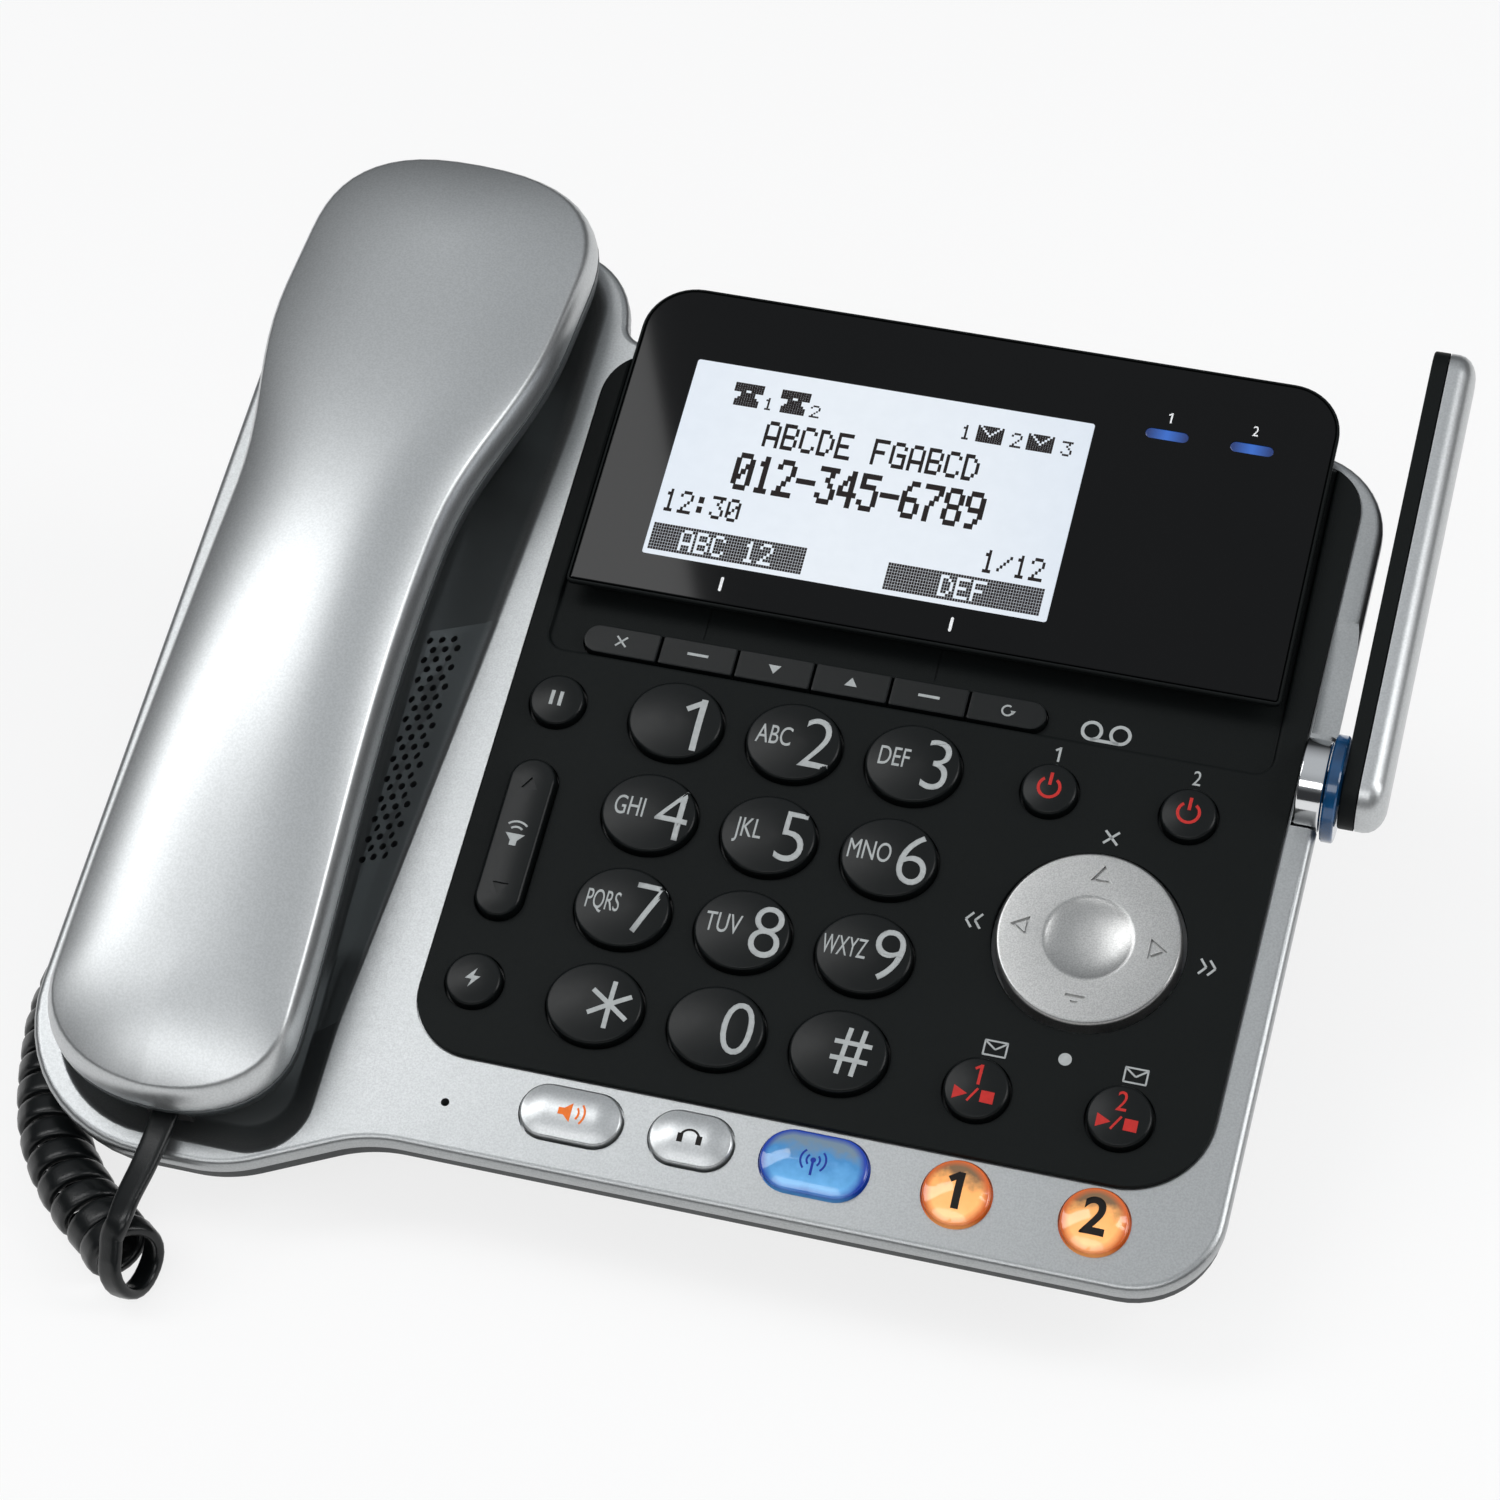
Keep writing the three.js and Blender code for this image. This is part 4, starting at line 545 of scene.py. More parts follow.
silver = Finish("silver_paint")
flake = silver.grain(2300, 1)
silver_look = silver.look(
    Base_Color=silver.flaked(flake, (0.50, 0.515, 0.52), (0.565, 0.58, 0.586)),
    Metallic=0.88,
    Roughness=silver.grain(5200, 0) * 0.06 + silver.grain(14) * 0.04 + 0.30,
    Normal=silver.bump(flake, 0.05, 0.00010),
)
edge = rounded(bay_edge)
bed = rounded(bay_floor)
rim_steps = [(0.35, -3.8), (0, -3.5), (0, -1.7), (0.1, -1.1), (0.38, -0.6), (0.85, -0.22), (1.7, 0)]
top_shell = drawn_out("top_shell_moulding", drawn_in(base_outline, rim_steps))
bay_wall = 2
tub_rings = drawn_in(bay_floor, [(-bay_wall, -bay_depth - bay_wall)])
tub_rings += drawn_in(bay_edge, [(-bay_wall, -0.8)])
tub = drawn_out("tub", tub_rings)
hub_y = 43.8
hub_room = (oval(hub_y, 0, 9.5, 9.5, 64), 100.1, 112)
knuckle_side = [(22.2, -3.8, 0.3), (36.2, -3.8, 0.3), (36.2, 4.8, 3.96), (28.2, 4.8, 4), (24.2, -0.05, 2)]
knuckle = across("knuckle", rounded(knuckle_side, 10), 100.6, 104.2)
applied(
    knuckle, "BEVEL", width=0.0005, segments=2, limit_method="ANGLE", angle_limit=math.radians(35),
    use_clamp_overlap=True,
)
worked(top_shell, [tub, knuckle], "UNION")
hollow_shares = [
    (1.06, -8.6), (0.96, -8.35), (0.88, -7.7), (0.5, -4.75), (0.1, -1.65),
    (0.03, -0.9), (-0.02, -0.42), (-0.07, -0.1), (-0.13, 0.02), (-0.3, 2.5),
]
hollow = drawn_out("hollow", [between(edge, bed, share, z) for share, z in hollow_shares])
worked(top_shell, [hollow], "DIFFERENCE")
bed_cut = upright("bed_cut", rounded(inset(fascia_outline, -0.3)), -0.6, 5)
floor_cut = upright("floor_cut", rounded(inset(fascia_outline, 4)), -20, 5)
hub_cut = across("hub_cut", *hub_room)
dip_half = 26
dip_depth = 2.8
dip_radius = (dip_half**2 + dip_depth**2) / (2 * dip_depth)
dip = across("dip", oval(56, dip_radius - dip_depth, dip_radius, dip_radius, 400), 100.4, 112)
dip_keep = upright("dip_keep", [(99, 55), (112, 55), (112, 83), (99, 83)], -3.8, 5)
worked(dip, [dip_keep], "INTERSECT")
worked(top_shell, [bed_cut, floor_cut, hub_cut, dip], "DIFFERENCE")
front_keys = [
    ("key_speaker", -23.5, 20.4, 11), ("key_headset", 0.7, 16.6, 11), ("key_mobile", 25.2, 21.2, 12.4),
    ("key_line_1", 53.2, 13.2, 13.2), ("key_line_2", 80, 13.2, 13.2),
]
front_row = -54.4
front_play = 0.8
wells = [
    upright(name + "_well", pill(x, front_row, width + front_play, height + front_play), -9, 5)
    for name, x, width, height in front_keys
]
wells.append(upright("mic_well", oval(-48.6, -56.6, 0.85, 0.85, 24), -9, 5))
worked(top_shell, [together("wells", wells)], "DIFFERENCE")
grille_left, grille_front = -82.2, -6.5
column_pitch, row_pitch = 2.9, 2.3
holes = []
for column in range(3):
    for row in range(23):
        x = grille_left + column * column_pitch + (row % 2) * column_pitch / 2
        holes.append(upright("grille", oval(x, grille_front + row * row_pitch, 0.78, 0.78, 12), -12, 4))
holes.append(upright("hook_well", oval(-98.4, 117, 3.7, 3.7, 32), -14, 0))
worked(top_shell, [together("holes", holes)], "DIFFERENCE")
pads = []
for y, top in ((100, -4.8), (-46, -7.3)):
    pad = oblong(-108.7, y - 4, -90.7, y + 4, 1.5)
    pads.append(drawn_out("pad", drawn_in(pad, [(0, -9), (0, top - 0.5), (0.5, top)])))
worked(top_shell, [together("pads", pads)], "UNION")
# Silver paint with painted shade, darkened in the bay and low on the outer wall.
painted_shade_silver = Finish("silver_paint_with_painted_shade")
plate_up = (plate.to_3x3() @ up).normalized()
above = painted_shade_silver.node(
    "ShaderNodeVectorMath", {"operation": "DOT_PRODUCT"}, {0: painted_shade_silver.where(), 1: tuple(plate_up)}, "Value"
)
above = above - plate_up.dot(plate.translation)


def held(value, scale, shift):
    """A value scaled and shifted, then kept between 0 and 1."""
    settings = {"operation": "MULTIPLY_ADD", "use_clamp": True}
    return painted_shade_silver.node("ShaderNodeMath", settings, {0: value, 1: scale, 2: shift})


# Painted shade: the paint is darkened to a duller grey just under the rim of the bay, where the bay wall lies
# in shade, and lower down on the outer wall.
wall_x, wall_y = painted_shade_silver.where("X"), painted_shade_silver.where("Y")
in_width = held(wall_x, 1000, 124) * held(wall_x, -1000, -52)
in_bay = in_width * held(wall_y, 120, 10.8) * held(wall_y, -1000, 94.6)
clear_of_painted_shade = held(above, 250, 1.75) * (1 - in_bay) + held(above, 1100, 1.8) * in_bay
painted_shade_silver_look = painted_shade_silver.look(
    Base_Color=painted_shade_silver.blend(
        clear_of_painted_shade,
        # Painted shade: the dull grey set in the hollow of the bay and low on the outer wall.
        (0.29, 0.311, 0.318),
        painted_shade_silver.mottled(2600, (0.35, 0.362, 0.366), (0.41, 0.423, 0.428), 0.15),
    ),
    Metallic=0.88,
    Roughness=painted_shade_silver.grain(1500) * 0.10 + 0.30,
    Normal=painted_shade_silver.relief(5200, 0.10, 0.0001),
)
fitted(top_shell, "base", painted_shade_silver_look, ("top_shell",))

# Bottom shell: the dark grey tray under the silver rim. A thin shadow groove parts the two, a
# narrow band follows the rim, and the belly below it holds the boards. It is screwed together
# from below and has two short posts for the front feet.
belly_outline = [
    (-112, -66, 12), (-90, -66, 12), (-66, -58, 12), (84, -58, 12),
    (84, 100, 12), (-60, 100, 6), (-60, 122, 12), (-112, 122, 12),
]
tray = Finish("dark_grey_tray")
tray_look = tray.look(
    Base_Color=tray.mottled(60, (0.010, 0.013, 0.014), (0.013, 0.017, 0.019)),
    Roughness=tray.grain(900) * 0.12 + 0.40,
    Specular_IOR_Level=0.25,
    Normal=tray.relief(3000, 0.16, 0.00015),
)
belly_steps = [(0, -24), (-1.2, -23.2)]
skirt_steps = [(4.6, -10.4), (3.0, -9.7), (1.5, -9.2), (0.8, -8.5), (0.6, -7.6), (0.6, -4.1)]
tray_rings = drawn_in(belly_outline, belly_steps) + drawn_in(base_outline, skirt_steps)
bottom_shell = drawn_out("bottom_shell_moulding", tray_rings)
hollow_rings = drawn_in(belly_outline, [(2.2, -21.8)])
hollow_rings += drawn_in(base_outline, [(7, -8.6), (3, -6.4), (3, 2)])
worked(bottom_shell, [
    drawn_out("tray_hollow", hollow_rings),
    across("hub_room", *hub_room),
    upright("plug_room", rounded(oblong(-67.3, 80.5, -56.7, 87.5, 0.3), 2), -30, -12),
    upright("jack_room", rounded(oblong(9.7, 89.7, 62.3, 125, 0.3), 2), -22.3, -10.2),
], "DIFFERENCE")
table_gap = 0.0021
only(bottom_shell)
bpy.ops.object.mode_set(mode="EDIT")
bpy.ops.mesh.select_all(action="SELECT")
bpy.ops.mesh.bisect(
    plane_co=plate.inverted() @ Vector((0, 0, table_gap)),
    plane_no=plate.inverted().to_3x3() @ up,
    use_fill=True,
    clear_inner=True,
)
bpy.ops.object.mode_set(mode="OBJECT")
posts = []
for x, y in ((-100, -47), (70, -31)):
    post = upright("post", oval(x, y, 7, 7, 48), 2.05, 60)
    post.data.transform(Matrix.Translation(origin))
    post.data.transform(plate.inverted())
    limit = upright("limit", [(-300, -300), (300, -300), (300, 300), (-300, 300)], -80, -22)
    posts.append(worked(post, [limit], "INTERSECT"))
worked(bottom_shell, [together("posts", posts)], "UNION")
screw_places = ((-104, 60), (-104, 112), (-44, -48), (78, 94), (-20, 94))
screws = [upright("screw_well", oval(x, y, 3.2, 3.2, 32), -40, -22.5) for x, y in screw_places]
worked(bottom_shell, [together("screws", screws)], "DIFFERENCE")
vents = [upright("vent", pill(-88 + 4 * i, 30, 1.6, 22), -40, -22.8) for i in range(8)]
worked(bottom_shell, [together("vents", vents)], "DIFFERENCE")
fitted(bottom_shell, "base", tray_look, ("bottom_shell",), angle=28)

# Desk stand and feet: a hollow wedge of the same dark grey plastic, clipped under the belly. The
# jack block and the loudspeaker are as grey. Two black rubber feet are let into the stand and two
# into the front posts, and the cord's plugs are as black.
for name in ("desk_stand", "line_jack_block", "loudspeaker"):
    painted(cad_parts[name], tray_look)
foot_rubber = Finish("foot_rubber")
foot_look = foot_rubber.look(
    Base_Color=foot_rubber.mottled(200, (0.008, 0.008, 0.008), (0.016, 0.016, 0.016)),
    Roughness=foot_rubber.grain(400) * 0.2 + 0.6,
    Normal=foot_rubber.relief(1500, 0.2, 0.0002, 2),
)
for name in (
    "foot_front_left", "foot_front_right", "foot_rear_left", "foot_rear_right",
    "cord_plug_handset", "cord_plug_base",
):
    painted(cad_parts[name], foot_look)

# Fascia: the matt black plate let into the silver shell. It is moulded with a shallow bed for the
# display and the soft keys, and has a close-fitting well for every key, the rocker and the disc.
deck = 1.2
bed_deck = -0.2
digit_places = [(((i % 3) - 1) * 24.63, (1.5 - i // 3) * 21) for i in range(12)]
small_keys = [
    ("key_hold", -49.6, 31.4, 5.6), ("key_flash", -49.6, -31.3, 5.6),
    ("key_power_1", 52.4, 31.5, 5.6), ("key_power_2", 80.4, 31.5, 5.6),
    ("key_mailbox_1", 52.4, -33.4, 6.4), ("key_mailbox_2", 80.4, -33.4, 6.4),
]
well_floor = -9
digit_half_width = 9.65
digit_half_height = 8.55
rocker_x = -49.6
rocker_width = 9.4
rocker_length = 35
disc_x = 66.9
disc_y = 1.3
soft_row = 47.3
hinge_y = 61.4
hinge_z = 2.3
matt = Finish("matt_black_moulding")
matt_look = matt.look(
    Base_Color=matt.mottled(25, (0.0050, 0.0064, 0.0064), (0.0062, 0.0078, 0.0078)),
    Roughness=matt.grain(1100) * 0.10 + 0.46,
    Specular_IOR_Level=0.10,
    Normal=matt.relief(3600, 0.22, 0.00015),
)
fascia_steps = [(0.3, -0.3), (0, 0.0), (0, 0.75), (0.13, 1.05), (0.45, deck)]
fascia = drawn_out("fascia_plate", drawn_in(fascia_outline, fascia_steps))
floor_plate = upright("floor_plate", rounded(oblong(-53, 41.4, 91.6, 107.5, 1), 4), -2, -0.1)
worked(fascia, [floor_plate], "UNION")
recess = [(-56, 43.4, 4), (94.6, 43.4, 4), (94.6, 122, 1), (-56, 122, 1)]
recess_steps = [
    (0.9, bed_deck), (0.5, bed_deck + 0.12), (0.1, deck - 0.3), (-0.5, deck + 0.01), (-1.2, deck + 1),
]
worked(fascia, [drawn_out("recess_cut", drawn_in(recess, recess_steps))], "DIFFERENCE")


def key_oval(x, y, half_width, half_height, count=48):
    """The outline of a round key, by how far it is grown."""
    return lambda grown: oval(x, y, half_width + grown, half_height + grown, count)


def key_pill(x, y, width, height):
    """The outline of a long key, by how far it is grown."""
    return lambda grown: pill(x, y, width + 2 * grown, height + 2 * grown)


def well(outline, mouth):
    """A key well with an eased mouth."""
    steps = [(0.35, well_floor), (0.35, deck - 0.35), (0.45, deck - 0.1)]
    steps += [(mouth, deck + 0.01), (mouth + 0.6, deck + 2)]
    return drawn_out("well", [level(outline(grown), height) for grown, height in steps])


wells = [well(key_oval(x, y, digit_half_width, digit_half_height, 64), 0.75) for x, y in digit_places]
wells += [well(key_oval(x, y, radius, radius), 0.7) for name, x, y, radius in small_keys]
wells.append(well(key_pill(rocker_x, 0, rocker_width, rocker_length), 0.75))
wells.append(well(key_oval(disc_x, disc_y, 18.75, 18.75, 96), 0.9))
wells.append(upright("row", pill(0, soft_row, 97.3, 7.1), well_floor, 5))
for x in (-24.2, 24.2):
    wells.append(upright("tick", rounded(oblong(x - 0.2, 51.8, x + 0.2, 59, 0.05), 2), bed_deck - 0.25, 5))
worked(fascia, [together("wells", wells)], "DIFFERENCE")
lug_side = [(59.2, -1, 0.3), (63.6, -1, 0.3), (63.6, 3.7, 1.4), (59.2, 3.7, 1.4)]
lugs = [across("lug", rounded(lug_side, 6), left, left + 3) for left in (-49.3, 68.3)]
lugs += [across("pin", oval(hinge_y, hinge_z, 0.9, 0.9, 24), left, left + 7) for left in (-49, 64.3)]
worked(fascia, [together("lugs", lugs)], "UNION")
fitted(fascia, "base", matt_look, ("fascia",))

# Keys: satin black caps with a rounded shoulder and a slightly crowned top, each on its own
# spring. The light grey figures, letters and signs are printed on the caps.
key_black = Finish("satin_black_key")
key_look = key_black.look(
    Base_Color=key_black.mottled(70, (0.0040, 0.0052, 0.0053), (0.0050, 0.0064, 0.0066)),
    Roughness=key_black.grain(1000) * 0.08 + 0.27,
    Specular_IOR_Level=0.20,
    Normal=key_black.relief(4200, 0.10, 0.0001),
)
ink_depth = 0.00005
ink_gap = 0.000035


def print_finish(name, colour, rough=0.5):
    made = Finish(name)
    lighter = tuple(min(1, c * 1.12) for c in colour)
    return made.look(
        Base_Color=made.mottled(900, colour, lighter, 0.15),
        Roughness=made.grain(700) * 0.1 + rough,
        Specular_IOR_Level=0.2,
    )


grey_print = print_finish("light_grey_print", (0.40, 0.42, 0.42))
red_print = print_finish("red_print", (0.50, 0.026, 0.022))
black_print = print_finish("black_print", (0.010, 0.008, 0.007))
orange_print = print_finish("orange_print", (0.86, 0.19, 0.03))
blue_print = print_finish("deep_blue_print", (0.012, 0.035, 0.30))
white_print = print_finish("white_print", (0.86, 0.87, 0.88))


def cap(name, outline, face, rise, width, low=-3.9, fillet=0.7, flange=0.8, under=-0.6):
    """A push key: hidden flange, straight wall, rounded shoulder and crowned top."""
    steps = [(flange, low), (flange, under), (0, under), (0, face - fillet)]
    for share in (0.3, 0.6, 0.85, 1.0):
        angle = share * math.pi / 2
        steps.append((-fillet * (1 - math.cos(angle)), face - fillet + fillet * math.sin(angle)))
    for share in (0.18, 0.4, 0.62, 0.82, 0.96):
        reach = fillet + (width - fillet) * share
        steps.append((-reach, face + rise * (1 - (1 - share) ** 2)))
    return drawn_out(name, [level(outline(grown), height) for grown, height in steps])


def settled(mark, on, body, finish):
    """Lays a print on its key or plate so that it follows the surface."""
    only(mark)
    bpy.ops.object.mode_set(mode="EDIT")
    bpy.ops.mesh.select_all(action="SELECT")
    bpy.ops.mesh.remove_doubles(threshold=0.000002)
    bpy.ops.mesh.quads_convert_to_tris()
    if on:
        bpy.ops.mesh.subdivide(number_cuts=3)
    bpy.ops.object.mode_set(mode="OBJECT")
    mark.matrix_world = plate @ mark.matrix_world
    if on:
        applied(
            mark, "SHRINKWRAP", target=on, wrap_method="PROJECT", use_project_z=True,
            use_negative_direction=True, use_positive_direction=True, offset=ink_gap,
        )
    applied(mark, "SOLIDIFY", thickness=ink_depth, offset=0)
    bpy.ops.object.transform_apply(location=True, rotation=True, scale=True)
    painted(mark, finish)
    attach(mark, body)


def figure(name, words, x, y, z, size, on, body, finish, slot, narrow=0.82, heavy=0):
    """Figures or letters set by their middle. The figure 1 is drawn with two strokes."""
    if words == "1":
        tall, stroke = size * 0.355, size * 0.10 + heavy * 2
        stem = bar(size * 0.04, -tall, size * 0.04, tall, stroke)
        flag = bar(size * 0.04, tall * 0.88, -size * 0.15, tall * 0.5, stroke * 0.9)
        sign(name, [stem, flag], x, y, z, on, body, finish, slot)
        return
    bpy.ops.object.select_all(action="DESELECT")
    bpy.ops.object.text_add(location=(x / 1000, y / 1000, z / 1000))
    mark = bpy.context.object
    mark.name = name
    mark.data.body = words
    mark.data.size = size / 1000
    mark.data.align_x = "CENTER"
    mark.data.align_y = "CENTER"
    mark.data.resolution_u = 5
    mark.data.offset = heavy / 1000
    mark.scale = (narrow, 1, 1)
    only(mark)
    bpy.ops.object.convert(target="MESH")
    settled(bpy.context.object, on, body, finish)


def sign(name, shapes, x, y, z, on, body, finish, slot, turn=0):
    """A printed sign made of flat shapes, each a list of corners in millimetres."""
    parts = []
    for shape in shapes:
        bpy.ops.object.select_all(action="DESELECT")
        bpy.ops.mesh.primitive_circle_add(vertices=len(shape), fill_type="NGON")
        part = bpy.context.object
        for vertex, (px, py) in zip(part.data.vertices, shape):
            vertex.co = (px / 1000, py / 1000, 0)
        parts.append(part)
    mark = together(name, parts)
    place = Matrix.Translation((x / 1000, y / 1000, z / 1000))
    mark.matrix_world = place @ Matrix.Rotation(math.radians(turn), 4, "Z")
    settled(outward(mark), on, body, finish)


def bar(x0, y0, x1, y1, width):
    """A straight stroke."""
    along = Vector((x1 - x0, y1 - y0)).normalized() * (width / 2)
    side = Vector((-along.y, along.x))
    ends = ((x0, y0, 1), (x0, y0, -1), (x1, y1, -1), (x1, y1, 1))
    return [(x + side.x * sense, y + side.y * sense) for x, y, sense in ends]


def arc(radius, width, first, last, steps=20, x=0):
    """A curved stroke as short pieces that share their ends."""
    pieces = []
    r0, r1 = radius - width / 2, radius + width / 2
    for i in range(steps):
        a, b = (math.radians(first + (last - first) * k / steps) for k in (i, i + 1))
        corners = ((r0, a), (r1, a), (r1, b), (r0, b))
        pieces.append([(x + r * math.cos(angle), r * math.sin(angle)) for r, angle in corners])
    return pieces


key_names = [*"123456789", "star", "0", "hash"]
letters = ["", "ABC", "DEF", "GHI", "JKL", "MNO", "PQRS", "TUV", "WXYZ", "", "", ""]
star = [
    bar(-4.5 * math.cos(a), -5 * math.sin(a), 4.5 * math.cos(a), 5 * math.sin(a), 0.95)
    for a in (math.pi / 2, math.pi / 6, -math.pi / 6)
]
lattice = [
    bar(-1.9, -4.9, -1.0, 4.9, 0.95), bar(1.0, -4.9, 1.9, 4.9, 0.95),
    bar(-3.6, 1.7, 3.8, 1.7, 0.95), bar(-3.8, -1.7, 3.6, -1.7, 0.95),
]
for label, group, (x, y) in zip(key_names, letters, digit_places):
    node = "key_" + label
    key = cap(node + "_cap", key_oval(x, y, digit_half_width, digit_half_height, 64), 3.2, 0.65, 8.5)
    fitted(key, node, key_look, (node,))
    ground = (key, node, grey_print, "key_black")
    if label == "star":
        sign(node + "_figure", star, x + 3.2, y, 3.9, *ground)
    elif label == "hash":
        sign(node + "_figure", lattice, x + 2.6, y, 3.9, *ground)
    else:
        aside = 5.0 if group else 4.4
        figure(node + "_figure", label, x + aside, y - 0.4, 3.9, 16.2, *ground, 0.92, heavy=-0.17)
    if group:
        narrow = 0.64 if len(group) < 4 else 0.50
        figure(node + "_letters", group, x - 3.9, y + 0.2, 3.9, 6.0, *ground, narrow)

pause = [bar(-0.9, -1.6, -0.9, 1.6, 0.75), bar(0.9, -1.6, 0.9, 1.6, 0.75)]
bolt = [[(0.5, 2.1), (-1.5, -0.4), (-0.1, -0.4)], [(-0.5, -2.1), (1.5, 0.4), (0.1, 0.4)]]
power_ring = arc(2.15, 0.62, -235, 55) + [bar(0, 0.5, 0, 3.3, 0.66)]
play_stop = [
    [(-4.2, -1.4), (-1.4, 0), (-4.2, 1.4)], bar(-1.2, -1.4, 0.5, 1.4, 0.45),
    [(1.2, -1.2), (3.8, -1.2), (3.8, 1.2), (1.2, 1.2)],
]
small_signs = {
    "hold": (pause, grey_print), "flash": (bolt, grey_print),
    "power": (power_ring, red_print), "mailbox": (play_stop, red_print),
}
for node, x, y, radius in small_keys:
    key = cap(node + "_cap", key_oval(x, y, radius, radius), 3.0, 0.45, radius)
    fitted(key, node, key_look, (node,))
    shapes, ink = small_signs[node.split("_")[1]]
    ground = (key, node, ink, "key_black")
    if "mailbox" in node:
        sign(node + "_sign", shapes, x, y - 1.7, 3.7, *ground)
        figure(node + "_number", node[-1], x, y + 2.6, 3.7, 6.0, *ground, 0.8)
    else:
        sign(node + "_sign", shapes, x, y, 3.7, *ground)

# Volume rocker: one long black pill that tips about its middle, with a sunk arrow at each end.
rocker_outline = key_pill(rocker_x, 0, rocker_width, rocker_length)
rocker = cap("volume_rocker_cap", rocker_outline, 3.4, 0.3, 4.6, low=-3.4, flange=0, under=-1)
arrows = []
for y, sense in ((11.6, 1), (-11.6, -1)):
    tip = [(rocker_x - 1.7, y - sense * 1.1), (rocker_x + 1.7, y - sense * 1.1), (rocker_x, y + sense * 1.5)]
    arrows.append(upright("arrow", tip, 3.3, 6))
worked(rocker, [together("arrows", arrows)], "DIFFERENCE")
fitted(rocker, "volume_rocker", key_look, ("volume_rocker",))
loud = [[(-2.3, -0.7), (-1.2, -0.7), (0.3, -2.0), (0.3, 2.0), (-1.2, 0.7), (-2.3, 0.7)]]
loud += arc(1.7, 0.42, -42, 42, 8, 0.1) + arc(2.9, 0.42, -42, 42, 10, 0.1)
sign("volume_sign", loud, rocker_x, 0, 3.9, rocker, "volume_rocker", grey_print, "key_black", 90)

# Soft keys: one flat row of six narrow keys in the bed under the display, rounded at both ends.
half_row = 48.3
soft_width = 16.1
soft_half_height = 3.2
soft_gap = 0.2
end_radius = 3.18
inner_radius = 0.4
soft_signs = [
    [bar(-1.1, -1.1, 1.1, 1.1, 0.4), bar(-1.1, 1.1, 1.1, -1.1, 0.4)], [bar(-2.2, 0, 2.2, 0, 0.6)],
    [[(-1.3, 0.8), (1.3, 0.8), (0, -1.1)]], [[(-1.3, -0.8), (1.3, -0.8), (0, 1.1)]],
    [bar(-2.2, 0, 2.2, 0, 0.6)], arc(1.1, 0.38, 60, 360, 14) + [[(0.6, 0.1), (1.7, 0.1), (1.15, -0.8)]],
]
for i, shapes in enumerate(soft_signs):
    left = -half_row + i * soft_width + (soft_gap if i else 0)
    right = -half_row + (i + 1) * soft_width - (soft_gap if i < 5 else 0)

    def soft(grown):
        radii = [end_radius + grown if i == end else inner_radius for end in (0, 5)]
        grow = min(grown, 0)
        front, back = soft_row - soft_half_height - grown, soft_row + soft_half_height + grown
        return rounded([
            (left - grow, front, radii[0]), (right + grow, front, radii[1]),
            (right + grow, back, radii[1]), (left - grow, back, radii[0]),
        ], 8)

    node = f"soft_key_{i + 1}"
    soft_steps = [(0.8, -3.5), (0.8, -2.3), (0, -2.3), (0, 1.1), (-0.12, 1.38), (-0.4, 1.5)]
    key = drawn_out(node + "_cap", [level(soft(grown), height) for grown, height in soft_steps])
    fitted(key, node, key_look, (node,))
    sign(node + "_sign", shapes, (left + right) / 2, soft_row, 1.56, None, node, grey_print, "key_black")

# Plain signs printed round the disc and beside the small keys, in light grey.
cross = [bar(-1.4, -1.4, 1.4, 1.4, 0.5), bar(-1.4, 1.4, 1.4, -1.4, 0.5)]
chevrons = [bar(x, 0, x + 1.3, rise, 0.45) for rise in (1.6, -1.6) for x in (-1.6, 0.2)]
envelope = [bar(*stroke, 0.35) for stroke in (
    (-2.3, -1.5, 2.3, -1.5), (-2.3, 1.5, 2.3, 1.5), (-2.2, -1.5, -2.2, 1.5),
    (2.2, -1.5, 2.2, 1.5), (-2.2, 1.4, 0, -0.2), (0, -0.2, 2.2, 1.4),
)]
rings = arc(1.9, 0.7, 0, 360, 24, -2.9) + arc(1.9, 0.7, 0, 360, 24, 2.9) + [bar(-2.9, -1.9, 2.9, -1.9, 0.7)]
on_deck = (None, "base", grey_print, "charcoal_plastic")
for name, shapes, x, y, z, turn in (
    ("sign_cross", cross, 66.5, 24.1, deck, 0),
    ("sign_dot", [oval(0, 0, 1.3, 1.3, 24)], 67.6, -23.6, deck, 0),
    ("sign_back", chevrons, 43.9, 1.4, deck, 0), ("sign_on", chevrons, 90.4, 0.7, deck, 180),
    ("sign_letter_1", envelope, 54, -24.2, deck, 0), ("sign_letter_2", envelope, 81.6, -24.2, deck, 0),
    ("sign_messages", rings, 60.5, 47.0, bed_deck, 0),
):
    sign(name, shapes, x, y, z + 0.03, *on_deck, turn)
for words, x in (("1", 52.4), ("2", 80.4)):
    figure("sign_line_" + words, words, x, 39.9, deck + 0.03, 4.6, *on_deck, 0.8)

